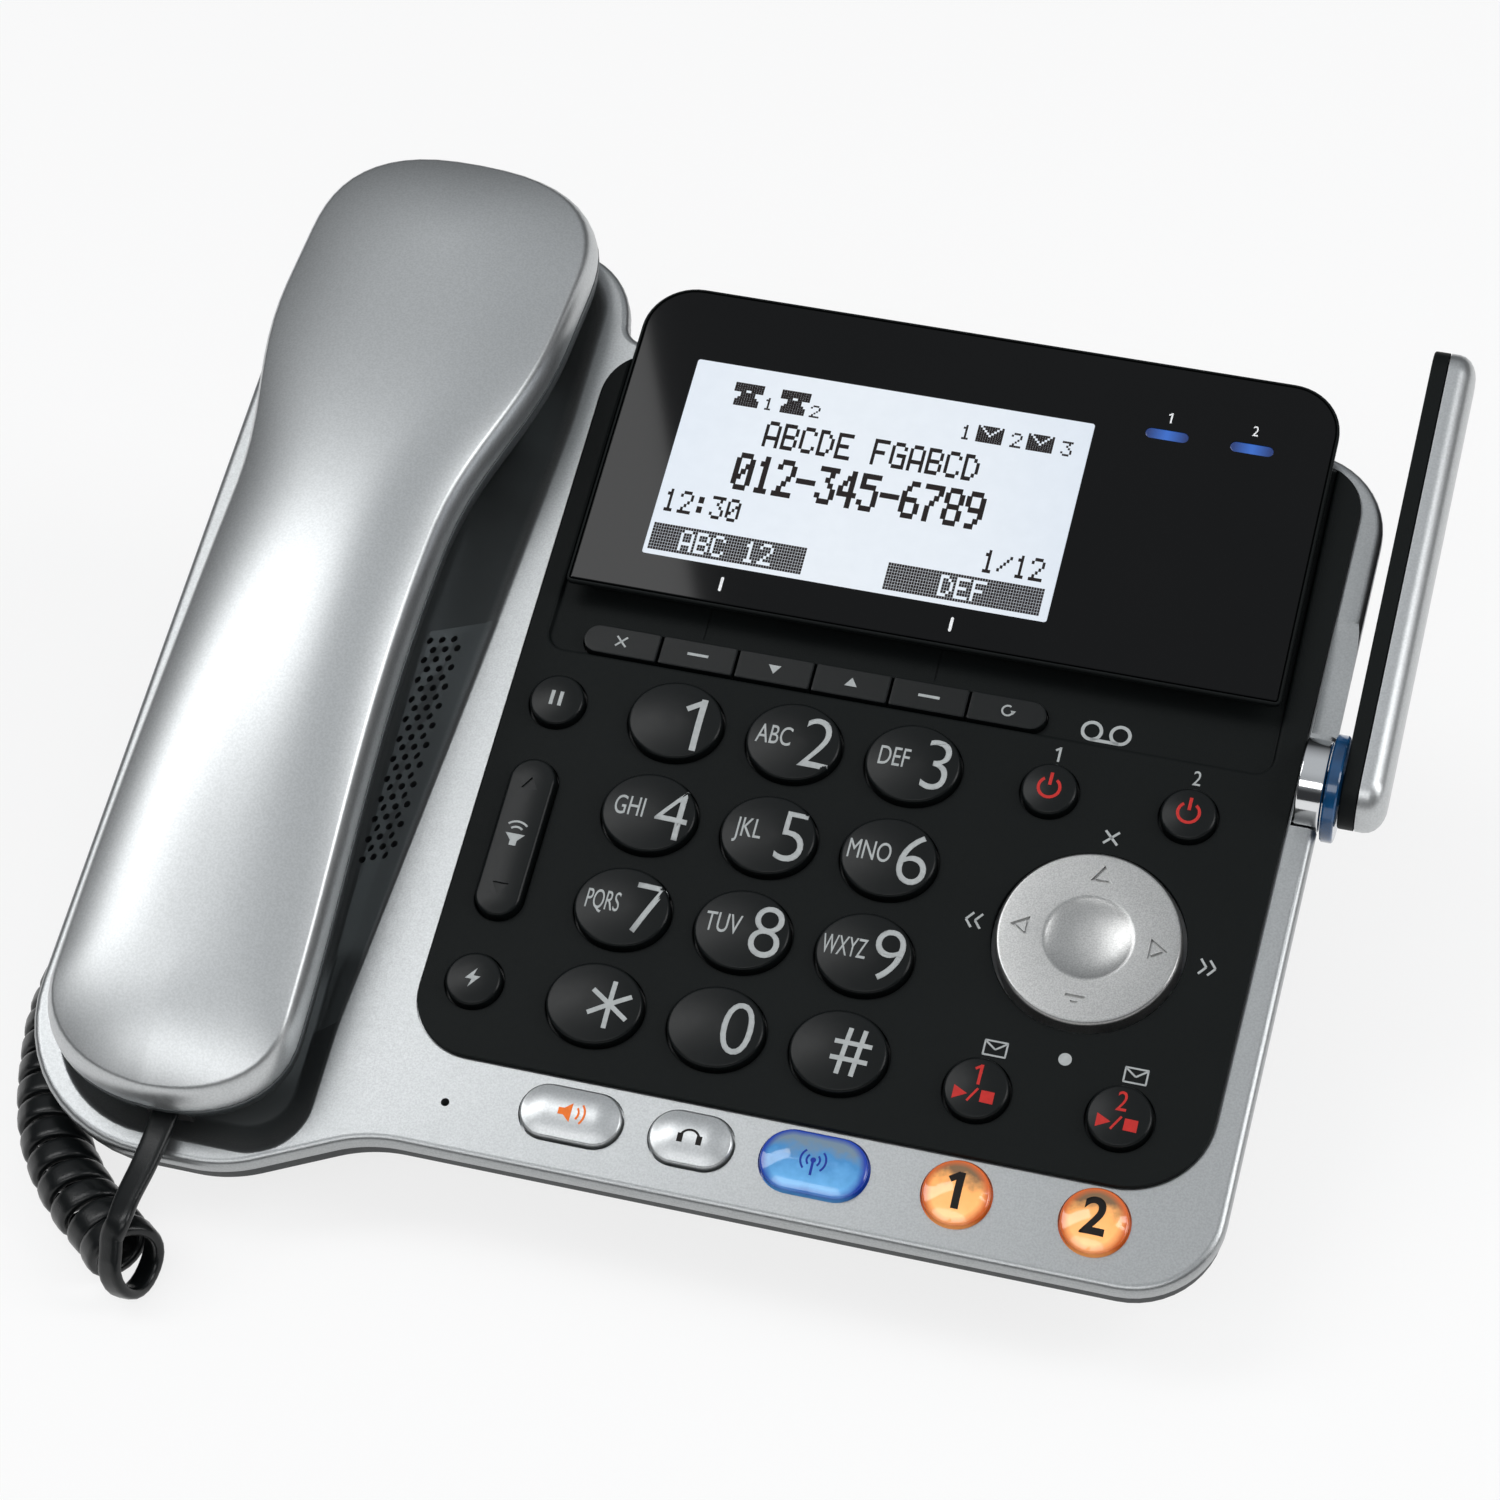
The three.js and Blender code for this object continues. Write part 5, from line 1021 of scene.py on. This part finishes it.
# Front keys: two silver pills, a clear blue pill and two clear orange domes, all standing in close wells in
# the silver front strip.
# The clear keys have a painted glow, as if lit from below, and painted shade at their rear edge and round
# their rim.
def clear_with_painted_glow(name, colours, places, radius, stretch):
    """Clear plastic with painted light: a painted glow as if lit from below, painted shade at its rear edge,
    brighter inside, and deeper painted shade round its rim.
    """
    rear_shade, body, painted_glow, rim_shade = colours
    made = Finish(name)
    along = (made.where("Y") - places[0].y) * (1 / radius)
    apart = None
    for place in places:
        reach = made.maths("ABSOLUTE", made.where("X") - place.x) - stretch
        side = made.maths("MAXIMUM", reach, 0.0) * (1 / radius)
        away = side * side + along * along
        apart = away if apart is None else made.maths("MINIMUM", apart, away)
    cloud = made.grain(330, 3) * 0.5 - 0.25
    # The colour holds painted light. It is brighter towards the front and darker at the rear edge and round
    # the rim, and it is also given out as a glow.
    inner = made.ramp(along * 0.5 + 0.5 + cloud, [(0.12, painted_glow), (0.55, body), (0.78, rear_shade)])
    colour = made.blend(made.ramp(apart + cloud * 0.3, [(0.55, (0, 0, 0)), (0.92, (1, 1, 1))]), inner, rim_shade)
    return made.look(
        Base_Color=colour,
        Emission_Color=colour,
        Emission_Strength=0.42,
        Roughness=made.grain(300) * 0.05 + 0.08,
        Coat_Weight=0.5,
        Coat_Roughness=0.03,
    )


# Painted tones of the clear keys: rear shade, body, glow and rim shade.
blue_tones = ((0.12, 0.18, 0.24), (0.04, 0.19, 0.42), (0.12, 0.36, 0.66), (0.006, 0.035, 0.28))
orange_tones = ((0.17, 0.095, 0.045), (0.86, 0.38, 0.11), (0.98, 0.48, 0.17), (0.50, 0.10, 0.018))
blue_place, *orange_places = (plate @ Vector((x, -0.0544, 0.002)) for x in (0.0252, 0.0532, 0.08))
blue_look = clear_with_painted_glow("clear_blue", blue_tones, [blue_place], 0.0059, 0.0044)
orange_look = clear_with_painted_glow("clear_orange", orange_tones, orange_places, 0.0063, 0.0)
front_finish = {
    "key_speaker": (silver_look, "silver_paint", 0.9), "key_headset": (silver_look, "silver_paint", 0.9),
    "key_mobile": (blue_look, "blue_clear", 1.1), "key_line_1": (orange_look, "orange_clear", 1.3),
    "key_line_2": (orange_look, "orange_clear", 1.3),
}
headset = arc(1.9, 0.45, 0, 180, 16) + [bar(x, -0.9, x, 0.9, 1.1) for x in (-1.9, 1.9)]
waves = [
    piece for radius, steps in ((1.3, 8), (2.5, 10)) for first in (-48, 132)
    for piece in arc(radius, 0.4, first, first + 96, steps)
]
waves += [oval(0, 0, 0.55, 0.55, 16), bar(0, 0, 0, -3.0, 0.5)]
front_signs = {
    "key_speaker": (loud, -54.4, 2.9, orange_print), "key_headset": (headset, -54.9, 2.9, black_print),
    "key_mobile": (waves, -54.2, 3.1, blue_print),
}
for node, x, width, height in front_keys:
    finish, slot, crown = front_finish[node]
    outline = key_pill(x, front_row, width, height)
    key = cap(node + "_cap", outline, 1.5, crown, height / 2 * 0.99, fillet=0.6, under=-2.8)
    fitted(key, node, finish, (node,))
    if node in front_signs:
        shapes, y, z, ink = front_signs[node]
        sign(node + "_sign", shapes, x, y, z, key, node, ink, slot)
    else:
        ground = (key, node, black_print, slot)
        figure(node + "_figure", node[-1], x, -54.3, 3.2, 10.5, *ground, 0.95, heavy=0.22)

# Navigation disc: turned and satin plated, with a rounded shoulder, a dished middle for the finger
# and a small sunk arrow or sign at each of its four sides. It rocks on the steel pivot below it.
disc_face = 3.6
disc_radius = 18.3
disc_rings = [(disc_radius, -2.6), (disc_radius, 2.6)]
for a in (0.35, 0.75, 1.15, math.pi / 2):
    disc_rings.append((disc_radius - 0.9 * (1 - math.cos(a)), 2.6 + 1.0 * math.sin(a)))
disc_dish = (
    (12, 0.04), (9.2, 0.04), (8.7, 0), (8.3, -0.16), (7.2, -0.52), (5.4, -0.86), (3.2, -1.04), (1.4, -1.09),
    (0.4, -1.1),
)
disc_rings += [(radius, disc_face + rise) for radius, rise in disc_dish]
disc = drawn_out("navigation_disc_cap", [level(oval(disc_x, disc_y, r, r, 96), z) for r, z in disc_rings])
arrow = [(-2.2, 12.0), (2.2, 12.0), (0, 15.6)]
middle_arrow = [(-1.25, 12.5), (1.25, 12.5), (0, 14.55)]


def on_disc(shape, turn):
    """A flat shape turned about the middle of the disc."""
    c, s = math.cos(math.radians(turn)), math.sin(math.radians(turn))
    return [(disc_x + x * c - y * s, disc_y + x * s + y * c) for x, y in shape]


notches = []
for turn in (0, 90, 270):
    groove = upright("groove", on_disc(arrow, turn), 2.9, 6)
    standing = upright("left_standing", on_disc(middle_arrow, turn), 2.5, 3.55)
    notches.append(worked(groove, [standing], "DIFFERENCE"))
notches.append(upright("groove", on_disc(bar(-1.9, 12.6, 1.9, 12.6, 0.6), 180), 2.9, 6))
notches.append(upright("groove", on_disc([(-0.8, 13.6), (0.8, 13.6), (0, 14.7)], 180), 3.1, 6))
worked(disc, [together("notches", notches)], "DIFFERENCE")
satin = Finish("satin_plating")
turned = satin.grain(3400, 1)
satin_look = satin.look(
    Base_Color=satin.flaked(turned, (0.36, 0.362, 0.358), (0.47, 0.472, 0.466)),
    Metallic=0.95,
    Roughness=satin.grain(2500) * 0.08 + 0.28,
    Normal=satin.bump(turned, 0.14, 0.00012),
)
fitted(disc, "navigation_disc", satin_look, ("navigation_disc",), angle=24)

# Display: a black frame with a glossy front pane, hinged on two stub pins at its front edge. The
# screen shows through a window in the pane: a white backlit panel with dark dots.
display_outline = [(-54.3, 56.8, 1.2), (93.6, 56.8, 1.2), (93.6, 129.8, 11), (-54.3, 129.8, 11)]
pane_top = 6
print_top = 6.01
window = oblong(-40.5, 66.0, 44.3, 113.0, 0.6)
lamp_row = 113.1
lamp_places = (59.2, 76.8)
frame_steps = [(6, 0.9), (5.2, 3.2), (4.6, 4.0), (0.5, 4.35), (0, 4.7), (0, 5.75), (0.2, 5.98), (0.45, 6.0)]
display_frame = drawn_out("display_frame_moulding", drawn_in(display_outline, frame_steps))
barrel = across("barrel", oval(hinge_y, hinge_z, 2.2, 2.2, 40), -46, 68)
lug_room_side = [(58.2, -1), (64.6, -1), (64.6, 4), (58.2, 4)]
lug_room = [across("lug_room", lug_room_side, x, x + 3.9) for x in (-49.9, 68)]
worked(display_frame, [barrel], "UNION")
worked(display_frame, [together("lug_rooms", lug_room)], "DIFFERENCE")
pin_room = [across("pin_room", oval(hinge_y, hinge_z, 1.2, 1.2, 24), x, x + 5) for x in (-47, 64)]
pane_room = upright("pane_room", rounded(inset(display_outline, 0.5)), 4.5, 8)
screen_room = upright("screen_room", rounded(oblong(-44.6, 62.6, 48, 116.2, 1), 4), 2.4, 8)
worked(display_frame, [together("pin_rooms", pin_room), pane_room, screen_room], "DIFFERENCE")
fitted(display_frame, "display", matt_look, ("display_frame",))
gloss = Finish("black_gloss_pane")
gloss_look = gloss.look(
    Base_Color=gloss.mottled(30, (0.0012, 0.0014, 0.0017), (0.0018, 0.0020, 0.0023)),
    Roughness=gloss.grain(12) * 0.02 + 0.03,
    Specular_IOR_Level=0.20,
)
pane_outline = inset(display_outline, 0.8)
pane_steps = [(0, 4.8), (0, 5.8), (0.07, 5.94), (0.25, pane_top)]
pane = drawn_out("display_pane", drawn_in(pane_outline, pane_steps))
leds = [upright("led_room", pill(x, lamp_row, 9, 2.4, 8), 5.7, 8) for x in lamp_places]
worked(pane, [upright("window_cut", rounded(window, 4), 4, 8), together("led_rooms", leds)], "DIFFERENCE")
fitted(pane, "display", gloss_look, ("display_lens",), angle=9)
panel = Finish("backlit_panel")
# Painted shade: the backlight turns darker and bluer towards the left and right edges of the window, in place
# of the shade cast by the window's edge.
painted_edge_shade = (panel.where("X") - 0.011) * 9.0
painted_edge_shade = painted_edge_shade * painted_edge_shade
panel_light = [(0.0, (0.84, 0.90, 0.97)), (0.35, (0.66, 0.76, 0.90))]
panel_look = panel.look(
    Base_Color=panel.mottled(300, (0.30, 0.31, 0.32), (0.32, 0.33, 0.34)),
    Emission_Color=panel.ramp(painted_edge_shade + panel.grain(35) * 0.1, panel_light),
    Emission_Strength=0.62,
    Roughness=panel.grain(500) * 0.05 + 0.22,
    Specular_IOR_Level=0.3,
)
screen_outline = oblong(-44.3, 62.9, 47.7, 115.9, 1)
screen_rings = drawn_in(screen_outline, [(0, 2.7), (0, 4.5)], 4)
screen_rings += drawn_in(window, [(0, 4.55), (0.03, 5.9)], 4)
screen = drawn_out("screen_panel", screen_rings)
fitted(screen, "display", panel_look, ("screen_module",))
glyph_width, glyph_height = 5, 7
dot_foot, dot_top = 5.89, 5.93
glyphs = {
    "0": "0E11131519110E", "1": "040C040404040E", "2": "0E11010204081F", "3": "1F02040201110E",
    "4": "02060A121F0202", "5": "1F101E0101110E", "6": "0608101E11110E", "7": "1F010204080808",
    "8": "0E11110E11110E", "9": "0E11110F01020C", "-": "0000001F000000", ":": "000C0C000C0C00",
    "/": "00010204081000", "A": "0E1111111F1111", "B": "1E11111E11111E", "C": "0E11101010110E",
    "D": "1C12111111121C", "E": "1F10101E10101F", "F": "1F10101E101010", "G": "0E11101711110F",
    " ": "00000000000000",
}
pixels = []


def lettered(words, left=0, low=0, scale=1, heavy=0):
    """Cells of a dot grid that spell a word in five by seven figures."""
    cells = set()
    for place, glyph in enumerate(words):
        for row in range(glyph_height):
            bits = int(glyphs[glyph][2 * row:2 * row + 2], 16)
            for column in range(glyph_width):
                if bits >> (glyph_width - 1 - column) & 1:
                    x = left + (place * (glyph_width + 1) + column) * scale
                    y = low + (glyph_height - 1 - row) * scale
                    cells.update([(x + i, y + j) for i in range(scale + heavy) for j in range(scale)])
    return cells


def dotted(cells, left, low, pitch_x, pitch_y, fill=0.96):
    for column, row in cells:
        pixels.append((left + column * pitch_x, low + row * pitch_y, pitch_x * fill, pitch_y * fill))


dotted(lettered("ABCDE FGABCD"), -22.4, 95.0, 0.64, 0.88, 1.06)
dotted(lettered("012-345-6789", 0, 0, 2, 1), -26.6, 84.0, 0.37, 0.63, 1.0)
for words, left, low in (("12:30", -39.2, 76.4), ("1/12", 28.4, 74.8)):
    dotted(lettered(words), left, low, 0.56, 0.76, 1.0)
for words, left in (("1", -24.4), ("2", -14.4)):
    dotted(lettered(words), left, 103.6, 0.42, 0.42)
for words, left in (("1", 17.4), ("2", 28.0), ("3", 38.6)):
    dotted(lettered(words), left, 104.4, 0.46, 0.50)
handset_mark = {(c, r) for c in range(12) for r in range(10)}
beside_waist = {(c, r) for c in (0, 1, 10, 11) for r in (0, 1, 2, 3, 4, 5)}
handset_mark -= beside_waist | {(2, 5), (9, 5), (2, 4), (9, 4), (5, 6), (6, 6)}
handset_mark |= {(c, r) for c in (1, 10) for r in (0, 1, 2)}
letter_mark = {(c, r) for c in range(11) for r in range(8)}
letter_mark -= {(5 + k, 3 + abs(k)) for k in range(-4, 5)}
for left in (-31.2, -21.2):
    dotted(handset_mark, left, 103.6, 0.52, 0.55)
for left in (20.8, 31.4):
    dotted(letter_mark, left, 104.4, 0.5, 0.5)
for left, words, start in ((-39.6, "ABC 12", 11), (10.0, "DEF", 20)):
    bar_cells = {(column, row) for column in range(58) for row in range(9)}
    dotted(bar_cells - lettered(words, start, 1), left, 67.2, 0.56, 0.70, 0.90)
dot_mesh = bpy.data.meshes.new("screen_dots")
corners, quads = [], []
box_faces = ((3, 2, 1, 0), (4, 5, 6, 7), (0, 1, 5, 4), (1, 2, 6, 5), (2, 3, 7, 6), (3, 0, 4, 7))
for x, y, w, h in pixels:
    first = len(corners)
    around = ((x, y), (x + w, y), (x + w, y + h), (x, y + h))
    corners += [(px / 1000, py / 1000, pz / 1000) for pz in (dot_foot, dot_top) for px, py in around]
    quads += [tuple(first + k for k in quad) for quad in box_faces]
dot_mesh.from_pydata(corners, [], quads)
screen_dots = bpy.data.objects.new("screen_dots", dot_mesh)
bpy.context.collection.objects.link(screen_dots)
dark_dot = print_finish("dark_screen_dot", (0.014, 0.010, 0.010), 0.6)
fitted(screen_dots, "display", dark_dot)
on_pane = (None, "display", white_print, "screen")
for i, x in enumerate((-22.5, 25.6)):
    sign(f"pane_tick_{i + 1}", [pill(0, 0, 0.62, 3.3, 5)], x, 61.9, print_top, *on_pane)
for words, x in zip("12", lamp_places):
    figure("pane_number_" + words, words, x, 117.2, print_top, 3.4, *on_pane, 0.8)
led = Finish("blue_led")
near = [led.maths("ABSOLUTE", led.where("X") - origin.x - x / 1000) for x in lamp_places]
led_away = led.maths("MINIMUM", *near) * 220
led_look = led.look(
    Base_Color=(0.01, 0.03, 0.12),
    Emission_Color=led.ramp(led_away, [(0.05, (0.04, 0.20, 0.80)), (0.85, (0.002, 0.016, 0.11))]),
    Emission_Strength=0.55,
    Roughness=led.grain(300) * 0.1 + 0.2,
)
for i, x in enumerate(lamp_places):
    lamp_steps = ((8.9, 2.3, 5.6), (8.9, 2.3, 5.9), (8.5, 1.9, 5.97))
    lamp = drawn_out(f"led_window_{i + 1}", [level(pill(x, lamp_row, w, h, 8), z) for w, h, z in lamp_steps])
    fitted(lamp, "display", led_look)

# Aerial: a chromed hub on the base, a clear blue ring, and a hollow paddle in two halves, black
# inside and silver outside, that swings up on a pin through the hub.
chrome = Finish("chrome_plating")
chrome_look = chrome.look(
    Base_Color=chrome.mottled(20, (0.70, 0.71, 0.72), (0.80, 0.81, 0.82)),
    Metallic=1.0,
    Roughness=chrome.grain(60) * 0.04 + 0.07,
)


def turned_piece(name, profile, count=72):
    """A round piece on the aerial's axis, from pairs of a place along it and a radius."""
    turns = [2 * math.pi * i / count for i in range(count)]
    return drawn_out(name, [
        [(x, hub_y + radius * math.cos(a), radius * math.sin(a)) for a in turns] for x, radius in profile
    ])


bore_radius = 3.45
pin_radius = 3.2
hub_profile = [
    (100.4, 8.9), (100.55, 9.1), (100.8, 9.2), (104.9, 9.2), (105.3, 9.1), (105.5, 8.8), (105.6, 8.4),
]
hub = turned_piece("aerial_hub_barrel", hub_profile)
worked(hub, [turned_piece("bore", [(101.6, bore_radius), (107, bore_radius)], 32)], "DIFFERENCE")
fitted(hub, "base", chrome_look, ("aerial_hub",))
ring_profile = [(105.9, 10.2), (106.0, 10.55), (106.3, 10.8), (108.2, 10.8), (108.5, 10.55), (108.6, 10.2)]
ring = turned_piece("aerial_ring_clear", ring_profile)
worked(ring, [turned_piece("bore", [(105, bore_radius), (110, bore_radius)], 32)], "DIFFERENCE")
ring_blue = Finish("clear_blue_ring")
# Painted glints: the clear ring gives out a blue glow that wanders with a grain.
ring_painted_glints = [(0.35, (0.0, 0.010, 0.03)), (0.7, (0.004, 0.06, 0.17))]
ring_look = ring_blue.look(
    Base_Color=ring_blue.mottled(120, (0.001, 0.014, 0.04), (0.005, 0.055, 0.15), 0.15),
    Roughness=ring_blue.grain(300) * 0.08 + 0.10,
    Emission_Color=ring_blue.ramp(ring_blue.grain(160), ring_painted_glints),
    Emission_Strength=0.35,
    Coat_Weight=0.5,
)
fitted(ring, "aerial", ring_look, ("aerial_ring",))
paddle_length = 101.5


def paddle(distance, x):
    """The outline of the paddle, drawn in by a distance, at a place across the set."""
    end, tip = 7.6 - distance, 7 - distance
    far = hub_y + paddle_length - distance
    near = hub_y - end
    corners = [(near, -end, end * 0.99), (far, -tip, tip * 0.99)]
    corners += [(far, tip, tip * 0.99), (near, end, end * 0.99)]
    return [(x, y, z) for y, z in rounded(corners, 14)]


inner_steps = ((0.3, 108.9), (0.05, 109.1), (0, 109.4), (0, 112.1))
inner = drawn_out("aerial_inner_shell", [paddle(distance, x) for distance, x in inner_steps])
worked(inner, [turned_piece("pin", [(101.9, pin_radius), (110, pin_radius)], 32)], "UNION")
fitted(inner, "aerial", matt_look, ("aerial_inner_half",))
outer_rings = [paddle(0.0, 112.4), paddle(0.0, 114.0)]
for share in (0.2, 0.4, 0.58, 0.74, 0.87, 0.96, 1.0):
    a = share * math.pi / 2
    outer_rings.append(paddle(5.2 * (1 - math.cos(a)), 114.0 + 4.0 * math.sin(a)))
outer = drawn_out("aerial_outer_shell", outer_rings)
fitted(outer, "aerial", silver_look, ("aerial_outer_half",), angle=40)

# Handset: two moulded shells parted by a dark seam. The back is silver, with a long soft ridge
# all round its crown; the face below carries the ear and mouth cups that rest in the bay.
length = 219
stations = 60

mouth_half, waist_half, ear_half = 25.8, 22.8, 31
waist_at, ear_at = 0.55, 0.84
mouth_round, ear_round = 20, 26


def ease(share):
    share = min(max(share, 0), 1)
    return share**3 * (share * (share * 6 - 15) + 10)


def half_width_at(share):
    if share < waist_at:
        return mouth_half + (waist_half - mouth_half) * ease(share / waist_at)
    return waist_half + (ear_half - waist_half) * ease((share - waist_at) / (ear_at - waist_at))


def end_rounding(share):
    mouth = min(max(1 - share * length / mouth_round, 0), 1)
    ear = min(max(1 - (1 - share) * length / ear_round, 0), 1)
    return (1 - mouth**2.2) ** (1 / 2.2) * (1 - ear**2.7) ** (1 / 2.7)


def seam_at(y):
    """Height of the seam, which arches over the middle of the handset."""
    share = min(max(y / length + 0.5, 0), 1)
    return 8.5 + 0.5 * share + 11.5 * math.sin(math.pi * share) ** 1.5


def handset_ring(distance, rise, narrowed=0.0, shortened=0.0):
    """Points round the handset, drawn in from its outline, at a height above its arched seam."""
    right = []
    for i in range(stations + 1):
        share = (1 - math.cos(math.pi * i / stations)) / 2
        half = max((half_width_at(share) * end_rounding(share) - distance) * (1 - narrowed), 0.3)
        y = (share - 0.5) * (length - 2 * distance - 2 * shortened)
        right.append((half, y, seam_at(y) + rise))
    left = [(-x, y, z) for x, y, z in reversed(right)]
    return right + left


def bridged_ends(piece):
    """Replaces the long end faces of a form with strips from side to side."""
    only(piece)
    bpy.ops.object.mode_set(mode="EDIT")
    bpy.ops.mesh.select_all(action="DESELECT")
    form = bmesh.from_edit_mesh(piece.data)
    long_faces = [f for f in form.faces if len(f.verts) > 8]
    for face in long_faces:
        ring = list(face.verts)
        lowest = min(range(len(ring)), key=lambda k: (ring[k].co.y, -ring[k].co.x))
        ring = ring[lowest:] + ring[:lowest]
        if ring[1].co.y > ring[-1].co.y + 1e-9 and ring[1].co.x < 0:
            ring.reverse()
        count = len(ring)
        form.faces.remove(face)
        for i in range(count // 2 - 1):
            a, b = ring[i], ring[i + 1]
            c, d = ring[(-i - 2) % count], ring[(-i - 1) % count]
            if len({a, b, c, d}) == 4:
                form.faces.new((a, b, c, d))
    bmesh.update_edit_mesh(piece.data)
    turned_out()
    return piece


ridge_inset = 1.98
ridge_top = 7.70
crown_rise = 4.2
back_rings = [handset_ring(0.35, 0.16), handset_ring(0.06, 0.35), handset_ring(0, 0.8)]
for share in (0.12, 0.26, 0.42, 0.57, 0.7):
    a = share * math.pi / 2
    back_rings.append(handset_ring(2.0 * (1 - math.cos(a)), 0.8 + 6.7 * math.sin(a)))
back_rings += [handset_ring(1.42, 7.28), handset_ring(1.72, 7.56), handset_ring(ridge_inset, ridge_top)]
for share in (0.03, 0.08, 0.15, 0.24, 0.34, 0.45, 0.56, 0.67, 0.78, 0.88, 0.96):
    rise = ridge_top + crown_rise * (1 - (1 - share) ** 2.6)
    back_rings.append(handset_ring(ridge_inset, rise, share, 24 * share))
handset_back = bridged_ends(drawn_out("handset_back_shell", back_rings))
fitted(handset_back, "handset", silver_look, ("handset_back",), handset_place, 40)
darker = Finish("darker_silver_paint")
darker_look = darker.look(
    Base_Color=darker.mottled(2600, (0.070, 0.078, 0.082), (0.085, 0.094, 0.098), 0.15),
    Metallic=0.6,
    Roughness=darker.grain(1500) * 0.10 + 0.32,
    Normal=darker.relief(5200, 0.10, 0.0001),
)
face_steps = (
    (6, -8.1), (4, -7.7), (2.16, -6.8), (1.1, -5.2), (0.48, -4.0), (0.1, -1.6), (0, -0.8), (0.06, -0.35),
    (0.35, -0.16),
)
face_rings = [handset_ring(distance, rise) for distance, rise in face_steps]
handset_face = bridged_ends(drawn_out("handset_face_shell", face_rings))
ear_y, mouth_y = 66, -78.5
cups = []
for centre, cup_length, half, radius, low in ((ear_y, 44, 22, 18, -4.5), (mouth_y, 42, 20, 12, -7)):
    corners = oblong(-half, centre - cup_length / 2, half, centre + cup_length / 2, radius)
    root = [(x, y, seam_at(y) - 3) for x, y in rounded(corners)]
    cups.append(drawn_out("cup", drawn_in(corners, [(3.2, low), (2.3, low + 0.35), (2, low + 1.1)]) + [root]))
worked(handset_face, cups, "UNION")
sound_holes = []
for circle, many in ((0, 1), (1, 6), (2, 12)):
    for a in (2 * math.pi * k / many for k in range(many)):
        x, y = 4.2 * math.cos(a) * circle, ear_y + 4.2 * math.sin(a) * circle
        sound_holes.append(upright("sound_hole", oval(x, y, 0.9, 0.9, 16), -6, -3.2))
for i in range(3):
    sound_holes.append(upright("sound_hole", oval(-5 + 5 * i, mouth_y, 0.9, 0.9, 16), -9, -5.8))
socket = upright("socket", rounded(oblong(-2.9, -112, 7.7, -94.4, 0.3), 2), -0.3, 6.7)
worked(handset_face, [together("sound_holes", sound_holes), socket], "DIFFERENCE")
fitted(handset_face, "handset", darker_look, ("handset_face",), handset_place, 40)

# Hidden works: the circuit board, the silicone key mat, the steel pivot and the hook plunger keep
# their plain shapes and get the finish of the real parts.
board = Finish("green_board")
board_look = board.look(
    Base_Color=board.mottled(300, (0.02, 0.11, 0.05), (0.03, 0.16, 0.07), 0.1),
    Roughness=board.grain(800) * 0.2 + 0.35,
)
mat = Finish("key_mat_silicone")
mat_look = mat.look(
    Base_Color=mat.mottled(200, (0.52, 0.54, 0.55), (0.60, 0.62, 0.63)),
    Roughness=mat.grain(500) * 0.15 + 0.55,
)
steel = Finish("turned_steel")
steel_look = steel.look(
    Base_Color=steel.mottled(400, (0.30, 0.31, 0.32), (0.42, 0.43, 0.44)),
    Metallic=1.0,
    Roughness=steel.grain(900) * 0.15 + 0.25,
)
for name, finish in (
    ("circuit_board", board_look), ("key_mat", mat_look), ("navigation_pivot", steel_look),
    ("hook_plunger", key_look),
):
    painted(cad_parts[name], finish)
